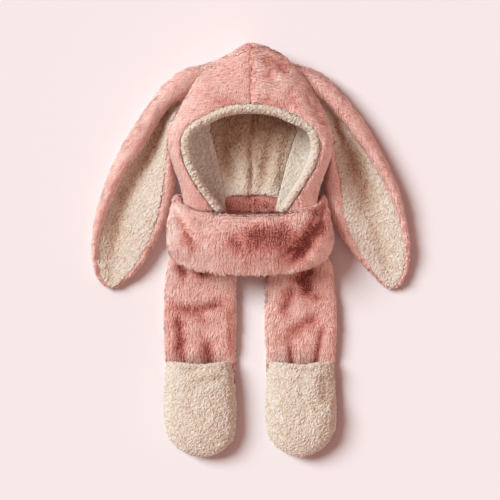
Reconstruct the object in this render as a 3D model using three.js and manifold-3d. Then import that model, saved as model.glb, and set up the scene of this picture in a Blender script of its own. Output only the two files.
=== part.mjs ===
import * as THREE from 'three';
import { mergeVertices } from 'three/addons/utils/BufferGeometryUtils.js';
import Module from 'manifold-3d';

// A child's plush hood with lop ears, a neck cowl and two scarf tails that end in hand pockets.
// It lies on its back on a table with the face opening up. Millimetres, Z up, crown towards +Y.
// While the pieces are made, the crown peak is at y = 0 and "down" runs from it towards the tails.

// Cloth
const plushWall = 7;
const fleeceWall = 5;
const clearance = 0.3;

// Hood
const hoodHalfWidth = 122;
const hoodDrop = 268;
const napeDrop = 226;
const rimHeight = 78;
const trimWidth = 10;
const trimDepth = 17;

// Cowl
const cowlHalfWidth = 125;
const cowlHeight = 82;
const cowlBand = 91;
const cowlWall = 11;
const cowlDip = 32;
const cowlFlat = 3;

// Ears
const earLength = 333;
const earSpread = 170;
const earRise = 34;

// Tails
const tailHalfWidth = 55;
const tailLength = 303;
const tailHeight = 16;
const tailSpacing = 151;
const liningWall = 4;

// Pockets
const pocketLength = 141;
const pocketRise = 25;
const pocketWall = 6;
const mouthDip = 5;

// Squareness of the rounded sections: 2 is an ellipse and more is boxier
const cowlFrontSquareness = 2.3;
const cowlBackSquareness = 3;
const pocketSquareness = 2.6;
const tailSquareness = 6;

// Mesh fineness
const hoodRows = 15;
const rimSteps = 6;
const cheekSteps = 5;
const floorSteps = 3;
const trimSides = 8;
const cowlTurns = 44;
const cowlOuterSteps = 8;
const cowlInnerSteps = 5;
const cowlRollTurns = [0.25, 0.5, 0.75];
const earRows = 17;
const earFaceSteps = 6;
const tailRows = 15;
const acrossSteps = 10;
const pocketRows = 10;

const pink = { color: 0xd48a86, roughness: 0.95, metalness: 0 };
const cream = { color: 0xeee0cb, roughness: 0.95, metalness: 0 };

// Rows of numbers under named columns.
function table(columns, rows) {
  const names = columns.split(' ');
  return rows.map((row) => Object.fromEntries(names.map((name, i) => [name, row[i]])));
}

// Hood sections from the forehead seam (first) round the cheek to the neck (last).
// out: outline, rim: edge of the face opening, shares of hoodHalfWidth across and hoodDrop down.
// footL, footR: where the cloth meets the table, shares of the outline's own width.
// rest, back: where the cloth meets the table and the back seam, shares of napeDrop down.
// rimUp, midUp, lift: heights of rim, outline and resting line, shares of rimHeight.
const hoodSections = table('outL outR outDown rimL rimR rimDown footL footR rest back rimUp midUp lift', [
  [0, 0, 0, 0, 0, 0.365, 0.45, 0.45, 0.08, 0.12, 0.97, 0.42, 0],
  [0.16, 0.24, 0.035, 0.11, 0.11, 0.367, 0.45, 0.45, 0.12, 0.16, 0.97, 0.42, 0],
  [0.33, 0.41, 0.085, 0.22, 0.21, 0.373, 0.45, 0.45, 0.17, 0.21, 0.98, 0.43, 0],
  [0.56, 0.55, 0.137, 0.345, 0.345, 0.386, 0.46, 0.46, 0.23, 0.28, 0.99, 0.43, 0],
  [0.69, 0.7, 0.235, 0.47, 0.47, 0.411, 0.47, 0.49, 0.33, 0.37, 1, 0.44, 0],
  [0.82, 0.84, 0.34, 0.6, 0.6, 0.442, 0.51, 0.56, 0.44, 0.46, 1, 0.45, 0],
  [0.94, 0.96, 0.458, 0.74, 0.74, 0.484, 0.535, 0.61, 0.55, 0.56, 0.99, 0.46, 0],
  [1, 1, 0.553, 0.825, 0.815, 0.542, 0.46, 0.525, 0.65, 0.64, 0.98, 0.47, 0],
  [0.975, 0.98, 0.642, 0.83, 0.83, 0.62, 0.431, 0.489, 0.74, 0.72, 0.96, 0.47, 0],
  [0.91, 0.905, 0.732, 0.765, 0.765, 0.715, 0.423, 0.48, 0.82, 0.8, 0.92, 0.46, 0.01],
  [0.85, 0.85, 0.804, 0.645, 0.635, 0.81, 0.408, 0.453, 0.93, 0.88, 0.84, 0.46, 0.09],
  [0.825, 0.81, 0.877, 0.54, 0.535, 0.877, 0.387, 0.425, 1.01, 0.98, 0.74, 0.47, 0.16],
  [0.81, 0.8, 0.96, 0.43, 0.44, 0.944, 0.388, 0.387, 1.12, 1.12, 0.66, 0.48, 0.16],
]);
const cornerSharpness = 4;

// Creases and soft dents of the hood's crown: ends as shares of hoodHalfWidth and hoodDrop, depth and
// spread as shares of plushWall.
const hoodCreases = table('fromAcross fromDown toAcross toDown depth spread', [
  [0.02, 0.075, 0.5, 0.12, 0.55, 0.9],
  [0.22, 0.16, 0.3, 0.19, 0.5, 2.2],
  [0.5, 0.16, 0.86, 0.44, 0.35, 1.6],
  [0, 0.02, 0, 0.34, 0.3, 0.6],
]);

// Upright soft folds of the lining's back panel, same shares; height above the panel over fleeceWall.
const liningFolds = table('fromAcross fromDown toAcross toDown depth spread', [
  [-0.12, 0.4, -0.1, 0.78, -0.7, 1.3],
  [0.2, 0.38, 0.12, 0.76, -0.8, 1.2],
  [-0.26, 0.4, -0.22, 0.76, 0.35, 1.2],
  [0.05, 0.38, 0.02, 0.74, 0.4, 1.1],
]);

// Cowl sections from its upper edge to its lower one: width to each side as a share of cowlHalfWidth,
// height as a share of cowlHeight.
const cowlSections = table('left right height', [
  [0.92, 0.9, 0.84],
  [0.955, 0.945, 0.96],
  [0.975, 0.955, 1],
  [0.995, 0.98, 0.99],
  [1, 1, 0.93],
  [0.985, 0.96, 0.8],
]);

// Drape folds of the cowl's front: ends as shares of cowlHalfWidth across and cowlBand down from its
// upper side corner, depth and spread as shares of cowlWall.
const cowlFolds = table('fromAcross fromDown toAcross toDown depth spread', [
  [-0.9, 0.3, -0.66, 0.86, 0.42, 0.7],
  [0.9, 0.12, 0.66, 0.66, 0.75, 0.75],
  [0.66, 0.66, 0.36, 1, 0.6, 0.7],
  [-0.35, 0.55, 0.3, 0.6, -0.35, 2.4],
  [0.1, 0.7, 0.2, 0.75, 0.3, 1.2],
]);

// Ear sections from the root under the hood to the tip. outer and inner edges: across as shares of
// earSpread, down as shares of earLength, both from the root. roll, valley, lip: where the rolled
// border ends, the dish is deepest and the narrow inner border starts, as shares of the section.
// rollUp, outerUp, innerUp, lipUp: heights over the ear's plush back, as shares of earRise.
const earColumns = 'outAcross outDown inAcross inDown roll valley lip rollUp outerUp innerUp lipUp';
const earSectionsLeft = table(earColumns, [
  [-0.09, -0.03, 0.04, 0.12, 0.78, 0.82, 0.92, 0.6, 0, 0.1, 0.3],
  [0.06, -0.002, 0.135, 0.135, 0.8, 0.84, 0.93, 0.74, 0, 0.2, 0.4],
  [0.2, 0.013, 0.19, 0.19, 0.7, 0.74, 0.88, 0.85, 0, 0.45, 0.62],
  [0.365, 0.08, 0.26, 0.265, 0.52, 0.58, 0.86, 0.88, 0.05, 0.55, 0.72],
  [0.5, 0.175, 0.3, 0.35, 0.4, 0.56, 0.88, 0.86, 0.25, 0.55, 0.72],
  [0.65, 0.288, 0.285, 0.43, 0.36, 0.6, 0.88, 0.82, 0.35, 0.5, 0.66],
  [0.8, 0.423, 0.255, 0.515, 0.24, 0.46, 0.83, 0.78, 0.38, 0.5, 0.62],
  [0.9, 0.557, 0.3, 0.63, 0.17, 0.38, 0.86, 0.7, 0.34, 0.48, 0.58],
  [0.97, 0.68, 0.365, 0.73, 0.13, 0.32, 0.88, 0.6, 0.28, 0.42, 0.52],
  [1, 0.782, 0.462, 0.818, 0.1, 0.34, 0.9, 0.5, 0.22, 0.34, 0.44],
  [0.996, 0.88, 0.56, 0.895, 0.08, 0.4, 0.91, 0.42, 0.18, 0.26, 0.36],
  [0.955, 0.95, 0.665, 0.95, 0.09, 0.45, 0.91, 0.36, 0.14, 0.18, 0.32],
  [0.893, 0.987, 0.755, 0.986, 0.14, 0.5, 0.86, 0.3, 0.08, 0.1, 0.28],
  [0.85, 1, 0.795, 1, 0.2, 0.5, 0.8, 0.2, 0.02, 0.02, 0.2],
]);
const earSectionsRight = table(earColumns, [
  [-0.09, -0.03, 0.04, 0.11, 0.78, 0.82, 0.92, 0.6, 0, 0.1, 0.3],
  [0.05, -0.002, 0.12, 0.13, 0.8, 0.84, 0.93, 0.74, 0, 0.2, 0.4],
  [0.19, 0.02, 0.18, 0.19, 0.66, 0.72, 0.9, 0.84, 0, 0.42, 0.6],
  [0.35, 0.085, 0.24, 0.275, 0.5, 0.58, 0.84, 0.86, 0.06, 0.52, 0.7],
  [0.5, 0.18, 0.29, 0.37, 0.4, 0.58, 0.86, 0.84, 0.3, 0.52, 0.7],
  [0.64, 0.28, 0.28, 0.45, 0.3, 0.55, 0.84, 0.8, 0.38, 0.46, 0.66],
  [0.785, 0.415, 0.25, 0.52, 0.2, 0.5, 0.76, 0.74, 0.38, 0.44, 0.6],
  [0.9, 0.545, 0.275, 0.61, 0.14, 0.46, 0.8, 0.66, 0.34, 0.4, 0.56],
  [0.965, 0.67, 0.34, 0.715, 0.1, 0.42, 0.84, 0.56, 0.3, 0.36, 0.5],
  [1, 0.785, 0.44, 0.805, 0.06, 0.42, 0.86, 0.46, 0.24, 0.3, 0.44],
  [1, 0.875, 0.575, 0.885, 0.06, 0.46, 0.88, 0.38, 0.18, 0.22, 0.36],
  [0.97, 0.945, 0.68, 0.94, 0.08, 0.48, 0.9, 0.32, 0.12, 0.16, 0.3],
  [0.92, 0.985, 0.765, 0.985, 0.14, 0.5, 0.86, 0.28, 0.06, 0.08, 0.26],
  [0.87, 1, 0.81, 1, 0.2, 0.5, 0.8, 0.2, 0.02, 0.02, 0.2],
]);
const earRootAcross = 0.56;
const earRootDown = 0.13;

// Borders of an ear's back in section: across as shares of the roll or of the lip, up as shares of its
// height. The flanks of the dish curve by an exponent, and its valley keeps clear of both borders.
const rollUnder = table('across up', [[0, 0.45], [0.12, 0.12], [0.5, 0]]);
const rollOver = table('across up', [[0.98, 0.88], [0.75, 1], [0.45, 0.98], [0.18, 0.8]]);
const lipShape = table('across up', [[0.6, 0.1], [1, 0.5], [0.8, 0.85], [0.4, 1]]);
const outerFlankCurve = 1.4;
const innerFlankCurve = 1.2;
const valleyMargin = 0.03;
const faceMargin = 1.2;
const faceEdgeShare = 0.55;

// Tail sections from the cowl to the round end: down as a share of tailLength, edges away from and
// towards the other tail as shares of tailHalfWidth, height as a share of tailHeight.
const tailSections = table('down outerL innerL outerR innerR height', [
  [0, 0.84, 0.98, 0.75, 0.94, 0.85],
  [0.07, 0.925, 0.98, 0.885, 0.95, 0.97],
  [0.15, 0.98, 0.97, 0.94, 0.96, 1],
  [0.26, 1, 0.97, 0.98, 0.99, 1],
  [0.38, 1, 0.97, 0.995, 0.99, 1],
  [0.46, 0.995, 0.97, 0.975, 0.95, 0.88],
  [0.535, 0.99, 0.97, 0.96, 0.94, 0.5],
  [0.62, 1.01, 1, 0.97, 0.98, 0.44],
  [0.72, 1.02, 1.03, 1, 1.01, 0.42],
  [0.8, 1.01, 1.05, 1.01, 1.01, 0.42],
  [0.87, 0.95, 1.01, 0.95, 0.95, 0.42],
  [0.93, 0.8, 0.87, 0.77, 0.79, 0.42],
  [0.97, 0.58, 0.65, 0.55, 0.56, 0.42],
  [1, 0.2, 0.28, 0.2, 0.2, 0.42],
]);
const liningShows = 0.035;
const liningShowsTo = 0.5;
const tailEdgeDrop = 0.35;
const tailFootReach = 0.96;
const tailTopReach = 0.93;
const tailSideUp = 0.4;

// Dents and folds of each tail: ends as shares of tailHalfWidth (outwards positive) and tailLength,
// depth and spread as shares of tailHeight.
const tailFoldsLeft = table('fromAcross fromDown toAcross toDown depth spread', [
  [0.52, 0.05, 0.4, 0.09, 0.35, 0.3],
  [0.05, 0.1, -0.24, 0.06, 0.3, 0.3],
  [0.62, 0.27, -0.15, 0.28, 0.42, 0.32],
  [-0.15, 0.28, -0.68, 0.24, 0.25, 0.3],
  [0.56, 0.33, 0.44, 0.5, 0.35, 0.3],
  [-0.3, 0.45, -0.2, 0.53, 0.3, 0.3],
]);
const tailFoldsRight = table('fromAcross fromDown toAcross toDown depth spread', [
  [0.1, 0.04, 0.16, 0.17, 0.42, 0.5],
  [-0.2, 0.17, -0.48, 0.29, 0.35, 0.25],
  [0.46, 0.31, -0.3, 0.42, 0.32, 0.35],
  [-0.26, 0.44, -0.18, 0.53, 0.35, 0.2],
  [0.58, 0.38, 0.42, 0.53, 0.35, 0.2],
]);

// Pocket sections from the mouth to the round end, shares of pocketLength, tailHalfWidth, pocketRise.
const pocketSections = table('down outerL innerL outerR innerR rise', [
  [0, 0.9, 0.87, 0.9, 0.87, 0.84],
  [0.1, 0.96, 0.9, 0.93, 0.9, 0.9],
  [0.25, 0.98, 0.94, 0.95, 0.94, 0.97],
  [0.4, 0.99, 0.98, 0.975, 0.96, 1],
  [0.55, 0.99, 0.99, 0.985, 0.97, 1],
  [0.68, 0.965, 0.99, 0.96, 0.955, 0.96],
  [0.8, 0.87, 0.93, 0.86, 0.87, 0.88],
  [0.9, 0.68, 0.75, 0.66, 0.67, 0.74],
  [0.965, 0.42, 0.5, 0.4, 0.42, 0.52],
  [1, 0.14, 0.2, 0.13, 0.14, 0.25],
]);
const mouthFade = 0.25;
const hollowReach = 0.85;
const leastRise = 0.5;

const cowlTop = napeDrop + clearance;
const tailTop = cowlTop + cowlBand + clearance;

const wasm = await Module();
wasm.setup();

// A smooth value from a table: place 0 is the first row and place 1 the last.
function fromTable(rows, column, place) {
  const last = rows.length - 1;
  const at = Math.min(Math.max(place, 0), 1) * last;
  const row = Math.min(Math.floor(at), last - 1);
  const f = at - row;
  const a = rows[Math.max(row - 1, 0)][column];
  const b = rows[row][column];
  const c = rows[row + 1][column];
  const d = rows[Math.min(row + 2, last)][column];
  const slopeB = (c - a) / 2;
  const slopeC = (d - b) / 2;
  const rise = f * f * (3 - 2 * f);
  return b + (c - b) * rise + slopeB * f * (1 - f) * (1 - f) - slopeC * f * f * (1 - f);
}

// How far a point is pressed down by a set of folds, each a soft groove along a line.
function pressedBy(folds, across, down, acrossSize, downSize, depthSize) {
  let total = 0;
  for (const fold of folds) {
    const start = new THREE.Vector2(fold.fromAcross * acrossSize, fold.fromDown * downSize);
    const end = new THREE.Vector2(fold.toAcross * acrossSize, fold.toDown * downSize);
    const along = end.clone().sub(start);
    const point = new THREE.Vector2(across, down).sub(start);
    const place = THREE.MathUtils.clamp(point.dot(along) / along.lengthSq(), 0, 1);
    const away = point.sub(along.multiplyScalar(place)).length();
    const width = fold.spread * depthSize;
    total += fold.depth * depthSize * Math.exp(-((away / width) ** 2));
  }
  return total;
}

function spread(count) {
  return Array.from({ length: count + 1 }, (_, i) => i / count);
}

// Triangles collected as corner points, welded into one closed geometry.
class Skin {
  constructor() {
    this.corners = [];
  }

  triangle(a, b, c) {
    this.corners.push(a.x, a.y, a.z, b.x, b.y, b.z, c.x, c.y, c.z);
  }

  quad(a, b, c, d) {
    this.triangle(a, b, c);
    this.triangle(a, c, d);
  }

  // Every grid is split along the same diagonals, so that two that lie close stay apart.
  grid(points, turned = false) {
    for (let i = 0; i + 1 < points.length; i += 1) {
      for (let j = 0; j + 1 < points[i].length; j += 1) {
        const [a, b, c, d] = [points[i][j], points[i + 1][j], points[i + 1][j + 1], points[i][j + 1]];
        if (turned) this.quad(a, d, c, b);
        else this.quad(a, b, c, d);
      }
    }
  }

  // A strip joining the edges of two grids that follow each other point for point.
  strip(first, second) {
    for (let i = 0; i + 1 < first.length; i += 1) {
      this.quad(first[i], second[i], second[i + 1], first[i + 1]);
    }
  }

  finish() {
    const geometry = new THREE.BufferGeometry();
    geometry.setAttribute('position', new THREE.Float32BufferAttribute(this.corners, 3));
    return outward(dropFlat(mergeVertices(geometry, 1e-3)));
  }
}

// Without triangles that have lost a side.
function dropFlat(geometry) {
  const index = geometry.getIndex().array;
  const kept = [];
  for (let i = 0; i < index.length; i += 3) {
    const [a, b, c] = [index[i], index[i + 1], index[i + 2]];
    if (a !== b && b !== c && c !== a) kept.push(a, b, c);
  }
  geometry.setIndex(kept);
  return geometry;
}

function signedVolume(geometry) {
  const p = geometry.getAttribute('position');
  const index = geometry.getIndex().array;
  const corner = (i) => new THREE.Vector3().fromBufferAttribute(p, index[i]);
  let sum = 0;
  for (let i = 0; i < index.length; i += 3) sum += corner(i).dot(corner(i + 1).cross(corner(i + 2)));
  return sum / 6;
}

function outward(geometry) {
  if (signedVolume(geometry) < 0) geometry.setIndex(Array.from(geometry.getIndex().array).reverse());
  return geometry;
}

function toManifold(geometry) {
  const vertProperties = new Float32Array(geometry.getAttribute('position').array);
  const triVerts = new Uint32Array(geometry.getIndex().array);
  return new wasm.Manifold(new wasm.Mesh({ numProp: 3, vertProperties, triVerts }));
}

function fromManifold(solid) {
  const mesh = solid.getMesh();
  const geometry = new THREE.BufferGeometry();
  geometry.setAttribute('position', new THREE.BufferAttribute(mesh.vertProperties, 3));
  geometry.setIndex(new THREE.BufferAttribute(mesh.triVerts, 1));
  return geometry;
}

// The largest piece that is left of a solid once its neighbours' room is cut away.
function cutClear(geometry, neighbours) {
  let solid = toManifold(geometry);
  for (const neighbour of neighbours) solid = solid.subtract(toManifold(neighbour));
  const pieces = solid.decompose().sort((a, b) => b.volume() - a.volume());
  return fromManifold(pieces[0]);
}

// A closed body through sections of equally many points each. A fan of triangles closes each end.
function loft(sections) {
  const skin = new Skin();
  const closed = sections.map((section) => [...section, section[0]]);
  skin.grid(closed);
  const fan = (section, turned) => {
    const centre = new THREE.Vector3();
    for (const point of section.slice(1)) centre.addScaledVector(point, 1 / (section.length - 1));
    for (let i = 0; i + 1 < section.length; i += 1) {
      const [a, b] = turned ? [section[i + 1], section[i]] : [section[i], section[i + 1]];
      skin.triangle(centre, a, b);
    }
  };
  fan(closed[0], false);
  fan(closed.at(-1), true);
  return skin.finish();
}

const sides = {
  left: { sign: -1, out: 'outL', rim: 'rimL', foot: 'footL' },
  right: { sign: 1, out: 'outR', rim: 'rimR', foot: 'footR' },
};

// The lines that shape one hood section, in plan and in height, at a depth inside its outer face.
function hoodLines(side, place, depth) {
  const value = (column) => fromTable(hoodSections, column, place);
  const across = side.sign * hoodHalfWidth;
  const out = new THREE.Vector2(across * value(side.out), -hoodDrop * value('outDown'));
  const rim = new THREE.Vector2(across * value(side.rim), -hoodDrop * value('rimDown'));
  const rest = new THREE.Vector2(out.x * value(side.foot), -napeDrop * value('rest'));
  const back = new THREE.Vector2(0, -napeDrop * value('back'));
  const inward = rim.clone().sub(out).normalize();
  return {
    rim,
    rest,
    back,
    inward,
    out: out.add(inward.clone().multiplyScalar(depth)),
    top: rimHeight * value('rimUp') - depth,
    middle: rimHeight * value('midUp'),
    bottom: rimHeight * Math.max(value('lift'), 0) + depth,
  };
}

// A point of the hood's cloth: part 'rim' runs from the face opening to the outline, part 'cheek' from
// there to the table, part 'floor' along the table to the back seam; f is the share of that part.
function hoodPoint(side, place, part, f, depth) {
  const lines = hoodLines(side, place, depth);
  const turn = (f * Math.PI) / 2;
  if (part === 'rim') {
    const plan = lines.rim.clone().lerp(lines.out, Math.sin(turn));
    const pressed = pressedBy(hoodCreases, plan.x, -plan.y, hoodHalfWidth, hoodDrop, plushWall);
    const z = lines.middle + (lines.top - lines.middle) * Math.cos(turn) - pressed * Math.cos(turn);
    return new THREE.Vector3(plan.x, plan.y, z);
  }
  if (part === 'cheek') {
    const plan = lines.rest.clone().lerp(lines.out, Math.cos(turn));
    return new THREE.Vector3(plan.x, plan.y, lines.middle + (lines.bottom - lines.middle) * Math.sin(turn));
  }
  const plan = lines.rest.clone().lerp(lines.back, f);
  const corner = (lines.rest.y - lines.back.y) * (1 - f) ** cornerSharpness;
  return new THREE.Vector3(plan.x, lines.back.y + corner, lines.bottom);
}

// Rows of hood points at one depth, through the named parts of each section.
function hoodGrid(side, parts, depth, shift) {
  const steps = { rim: rimSteps, cheek: cheekSteps, floor: floorSteps };
  return spread(hoodRows).map((place) => {
    const row = [];
    for (const part of parts) {
      for (const f of spread(steps[part]).slice(row.length > 0 ? 1 : 0)) {
        const point = hoodPoint(side, place, part, f, depth);
        point.x += side.sign * shift;
        row.push(point);
      }
    }
    return row;
  });
}

// A wall between two grids, closed round all four edges.
function wallBetween(outer, inner) {
  const skin = new Skin();
  skin.grid(outer);
  skin.grid(inner, true);
  const edge = (grid, column) => grid.map((row) => row.at(column));
  skin.strip(inner[0], outer[0]);
  skin.strip(outer.at(-1), inner.at(-1));
  skin.strip(edge(outer, 0), edge(inner, 0));
  skin.strip(edge(inner, -1), edge(outer, -1));
  return skin.finish();
}

function hoodPanel(side) {
  const parts = ['rim', 'cheek', 'floor'];
  const shift = clearance / 2;
  return wallBetween(hoodGrid(side, parts, 0, shift), hoodGrid(side, parts, plushWall, shift));
}

function sideLining(side) {
  const parts = ['rim', 'cheek'];
  const shift = clearance / 2;
  const outer = hoodGrid(side, parts, plushWall + clearance, shift);
  return wallBetween(outer, hoodGrid(side, parts, plushWall + clearance + fleeceWall, shift));
}

// The back panel lies on both hood panels, from one resting line across the back seam to the other, and
// stops one row above their neck edge.
function backLining() {
  const under = plushWall + clearance;
  const half = (side, depth) => hoodGrid(side, ['floor'], depth, 0).slice(0, -1).map((row) => {
    const stop = row[0].clone().lerp(row[1], clearance / row[0].distanceTo(row[1]));
    return [stop, ...row.slice(1)];
  });
  const raised = (grid) => grid.map((row, i) => row.map((point) => {
    const pressed = pressedBy(liningFolds, point.x, -point.y, hoodHalfWidth, hoodDrop, fleeceWall);
    const ease = Math.sin((Math.PI * i) / hoodRows);
    return new THREE.Vector3(point.x, point.y, point.z - pressed * ease);
  }));
  const skin = new Skin();
  for (const side of [sides.left, sides.right]) {
    const bottom = half(side, under);
    const top = raised(half(side, under + fleeceWall));
    skin.grid(bottom, side.sign > 0);
    skin.grid(top, side.sign < 0);
    const edge = (grid) => grid.map((row) => row[0]);
    if (side.sign < 0) {
      skin.strip(edge(bottom), edge(top));
      skin.strip(bottom.at(-1), top.at(-1));
    } else {
      skin.strip(edge(top), edge(bottom));
      skin.strip(top.at(-1), bottom.at(-1));
    }
  }
  return skin.finish();
}

// The room that the hood fills, a clearance larger than the hood and without its hollow.
function hoodRoom(side) {
  return loft(hoodGrid(side, ['rim', 'cheek', 'floor'], -clearance, clearance / 2));
}

// A rolled edge round the face opening, lying against the ends of shell and lining.
function faceTrim() {
  const ring = (side, place) => {
    const lines = hoodLines(side, place, 0);
    const reach = trimWidth / 2 + clearance;
    const centre = lines.rim.clone().add(lines.inward.clone().multiplyScalar(reach));
    return spread(trimSides).slice(1).map((f) => {
      const turn = f * 2 * Math.PI;
      const plan = centre.clone().add(lines.inward.clone().multiplyScalar((Math.cos(turn) * trimWidth) / 2));
      const z = lines.top - trimDepth / 2 + (Math.sin(turn) * trimDepth) / 2;
      return new THREE.Vector3(plan.x, plan.y, z);
    });
  };
  const places = spread(hoodRows);
  const left = [...places].reverse().map((place) => ring(sides.left, place));
  const right = places.slice(1).map((place) => ring(sides.right, place));
  return loft([...left, ...right]);
}

// A point of the cowl: turn runs round the neck, width from the upper to the lower edge.
function cowlPoint(turn, width, beyond, depth) {
  const value = (column) => fromTable(cowlSections, column, width);
  const c = Math.cos(turn);
  const s = Math.sin(turn);
  const squareness = s > 0 ? cowlFrontSquareness : cowlBackSquareness;
  const halfWidth = cowlHalfWidth * value(c < 0 ? 'left' : 'right') - depth;
  const halfHeight = (cowlHeight * value('height') + cowlFlat) / 2;
  const x = Math.sign(c) * Math.abs(c) ** (2 / squareness) * halfWidth;
  const rise = Math.sign(s) * Math.abs(s) ** (2 / squareness) * (halfHeight - depth);
  const along = width * (cowlBand - cowlWall) + cowlWall / 2 + beyond;
  const front = Math.max(s, 0);
  const pressed = pressedBy(cowlFolds, x, along, cowlHalfWidth, cowlBand, cowlWall) * Math.sqrt(front);
  const z = Math.max(halfHeight + rise - cowlFlat, depth) - pressed;
  return new THREE.Vector3(x, -(cowlTop + along + cowlDip * front), z);
}

// The band's own section: flat outer and inner faces with rolled edges between them.
function cowlSection(turn) {
  const roll = cowlWall / 2;
  const points = spread(cowlOuterSteps).map((width) => cowlPoint(turn, width, 0, 0));
  for (const share of cowlRollTurns) {
    const a = share * Math.PI;
    points.push(cowlPoint(turn, 1, roll * Math.sin(a), roll - roll * Math.cos(a)));
  }
  for (const width of spread(cowlInnerSteps)) points.push(cowlPoint(turn, 1 - width, 0, cowlWall));
  for (const share of cowlRollTurns) {
    const a = share * Math.PI;
    points.push(cowlPoint(turn, 0, -roll * Math.sin(a), roll + roll * Math.cos(a)));
  }
  return points;
}

function neckCowl() {
  const skin = new Skin();
  const sections = spread(cowlTurns).map((f) => cowlSection(f * 2 * Math.PI));
  sections[cowlTurns] = sections[0];
  skin.grid(sections.map((section) => [...section, section[0]]));
  return skin.finish();
}

// One ear section at a share of its length: its line in plan and its heights across.
function earSection(rows, sign, place) {
  const value = (column) => fromTable(rows, column, place);
  const root = new THREE.Vector2(earRootAcross * hoodHalfWidth, -earRootDown * hoodDrop);
  const at = (across, down) => new THREE.Vector2(
    sign * (root.x + across * earSpread),
    root.y - down * earLength,
  );
  const outer = at(value('outAcross'), value('outDown'));
  const inner = at(value('inAcross'), value('inDown'));
  const roll = value('roll');
  const lip = value('lip');
  const valley = THREE.MathUtils.clamp(value('valley'), roll + valleyMargin, lip - valleyMargin);
  const bed = (c) => {
    const outerSide = Math.max((valley - c) / (valley - roll), 0) ** outerFlankCurve * value('outerUp');
    const innerSide = Math.max((c - valley) / (lip - valley), 0) ** innerFlankCurve * value('innerUp');
    return plushWall + earRise * (outerSide + innerSide);
  };
  const gap = clearance / outer.distanceTo(inner);
  const point = (c, z) => {
    const plan = outer.clone().lerp(inner, c);
    return new THREE.Vector3(plan.x, plan.y, z);
  };
  const rollTop = plushWall + earRise * value('rollUp');
  const lipTop = plushWall + earRise * value('lipUp');
  return { roll, lip, bed, gap, point, rollTop, lipTop };
}

// The plush back of an ear, with its rolled outer border and its narrow inner one.
function earOuterSection(rows, sign, place) {
  const { roll, lip, bed, point, rollTop, lipTop } = earSection(rows, sign, place);
  const points = rollUnder.map(({ across, up }) => point(across * roll, up * rollTop));
  for (const f of spread(2)) points.push(point(roll + (lip - roll) * f, 0));
  for (const { across, up } of lipShape) points.push(point(lip + (1 - lip) * across, up * lipTop));
  for (const f of spread(earFaceSteps)) {
    const c = lip + (roll - lip) * f;
    points.push(point(c, bed(c)));
  }
  for (const { across, up } of rollOver) {
    points.push(point(roll * across, Math.max(up * rollTop, up * bed(roll) + 1)));
  }
  return points;
}

// The cream face of an ear, lying in the dish of its back.
function earInnerSection(rows, sign, place) {
  const { roll, lip, bed, gap, point } = earSection(rows, sign, place);
  const start = roll + gap * faceMargin;
  const end = lip - gap * faceMargin;
  const under = spread(earFaceSteps).map((f) => {
    const c = lip + (roll - lip) * f;
    return point(THREE.MathUtils.clamp(c, start, end), bed(c) + clearance);
  });
  const over = spread(earFaceSteps).map((f) => {
    const c = roll + (lip - roll) * f;
    const round = faceEdgeShare + (1 - faceEdgeShare) * Math.sqrt(Math.sin(Math.PI * f));
    return point(THREE.MathUtils.clamp(c, start, end), bed(c) + clearance + fleeceWall * round);
  });
  return [...under, ...over];
}

function ear(rows, sign, section) {
  const sections = spread(earRows).map((place) => section(rows, sign, place));
  const body = loft(sections);
  return cutClear(body, [hoodRoom(sides.left), hoodRoom(sides.right)]);
}

const tails = {
  left: { sign: -1, outer: 'outerL', inner: 'innerL', folds: tailFoldsLeft },
  right: { sign: 1, outer: 'outerR', inner: 'innerR', folds: tailFoldsRight },
};

// A point at a share across a tail or pocket: -1 is the edge towards the other tail, 1 the far one.
function tailPlan(tail, rows, place, a, length, top) {
  const value = (column) => fromTable(rows, column, place);
  const reach = a > 0 ? value(tail.outer) : value(tail.inner);
  const x = tail.sign * (tailSpacing / 2 + a * reach * tailHalfWidth);
  return new THREE.Vector2(x, -(top + length * value('down')));
}

function tailSection(tail, place, raised = 0) {
  const base = liningWall + clearance + raised;
  const height = tailHeight * fromTable(tailSections, 'height', place);
  const at = (a, z) => {
    const plan = tailPlan(tail, tailSections, place, a, tailLength, tailTop);
    return new THREE.Vector3(plan.x, plan.y, base + z);
  };
  const points = [at(tailFootReach, 0), at(0, 0), at(-tailFootReach, 0), at(-1, height * tailSideUp)];
  for (const f of spread(acrossSteps)) {
    const a = (2 * f - 1) * tailTopReach;
    const across = a * tailHalfWidth;
    const down = tailLength * fromTable(tailSections, 'down', place);
    const fade = height / tailHeight;
    const pressed = pressedBy(tail.folds, across, down, tailHalfWidth, tailLength, tailHeight) * fade;
    points.push(at(a, height * (1 - Math.abs(a) ** tailSquareness * tailEdgeDrop) - pressed));
  }
  points.push(at(1, height * tailSideUp));
  return points;
}

function tailBody(tail) {
  return loft(spread(tailRows).map((place) => tailSection(tail, place)));
}

// The cream underside of a tail: it shows beside the plush down to the pocket and is hidden below.
function tailLining(tail) {
  const section = (place) => {
    const shows = place < liningShowsTo ? liningShows : -liningShows;
    const at = (a, z) => {
      const grown = a < 0 ? a * (1 + shows) : a * (1 - liningShows);
      const plan = tailPlan(tail, tailSections, place, grown, tailLength, tailTop);
      return new THREE.Vector3(plan.x, plan.y, z);
    };
    const bottom = [1, 0.4, -0.4, -1].map((a) => at(a, 0));
    return [...bottom, ...[-1, -0.4, 0.4, 1].map((a) => at(a, liningWall))];
  };
  return loft(spread(tailRows).map(section));
}

const pocketBase = liningWall + 2 * clearance + tailSections.at(-1).height * tailHeight;
const pocketTop = tailTop + tailLength - pocketLength;

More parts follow.
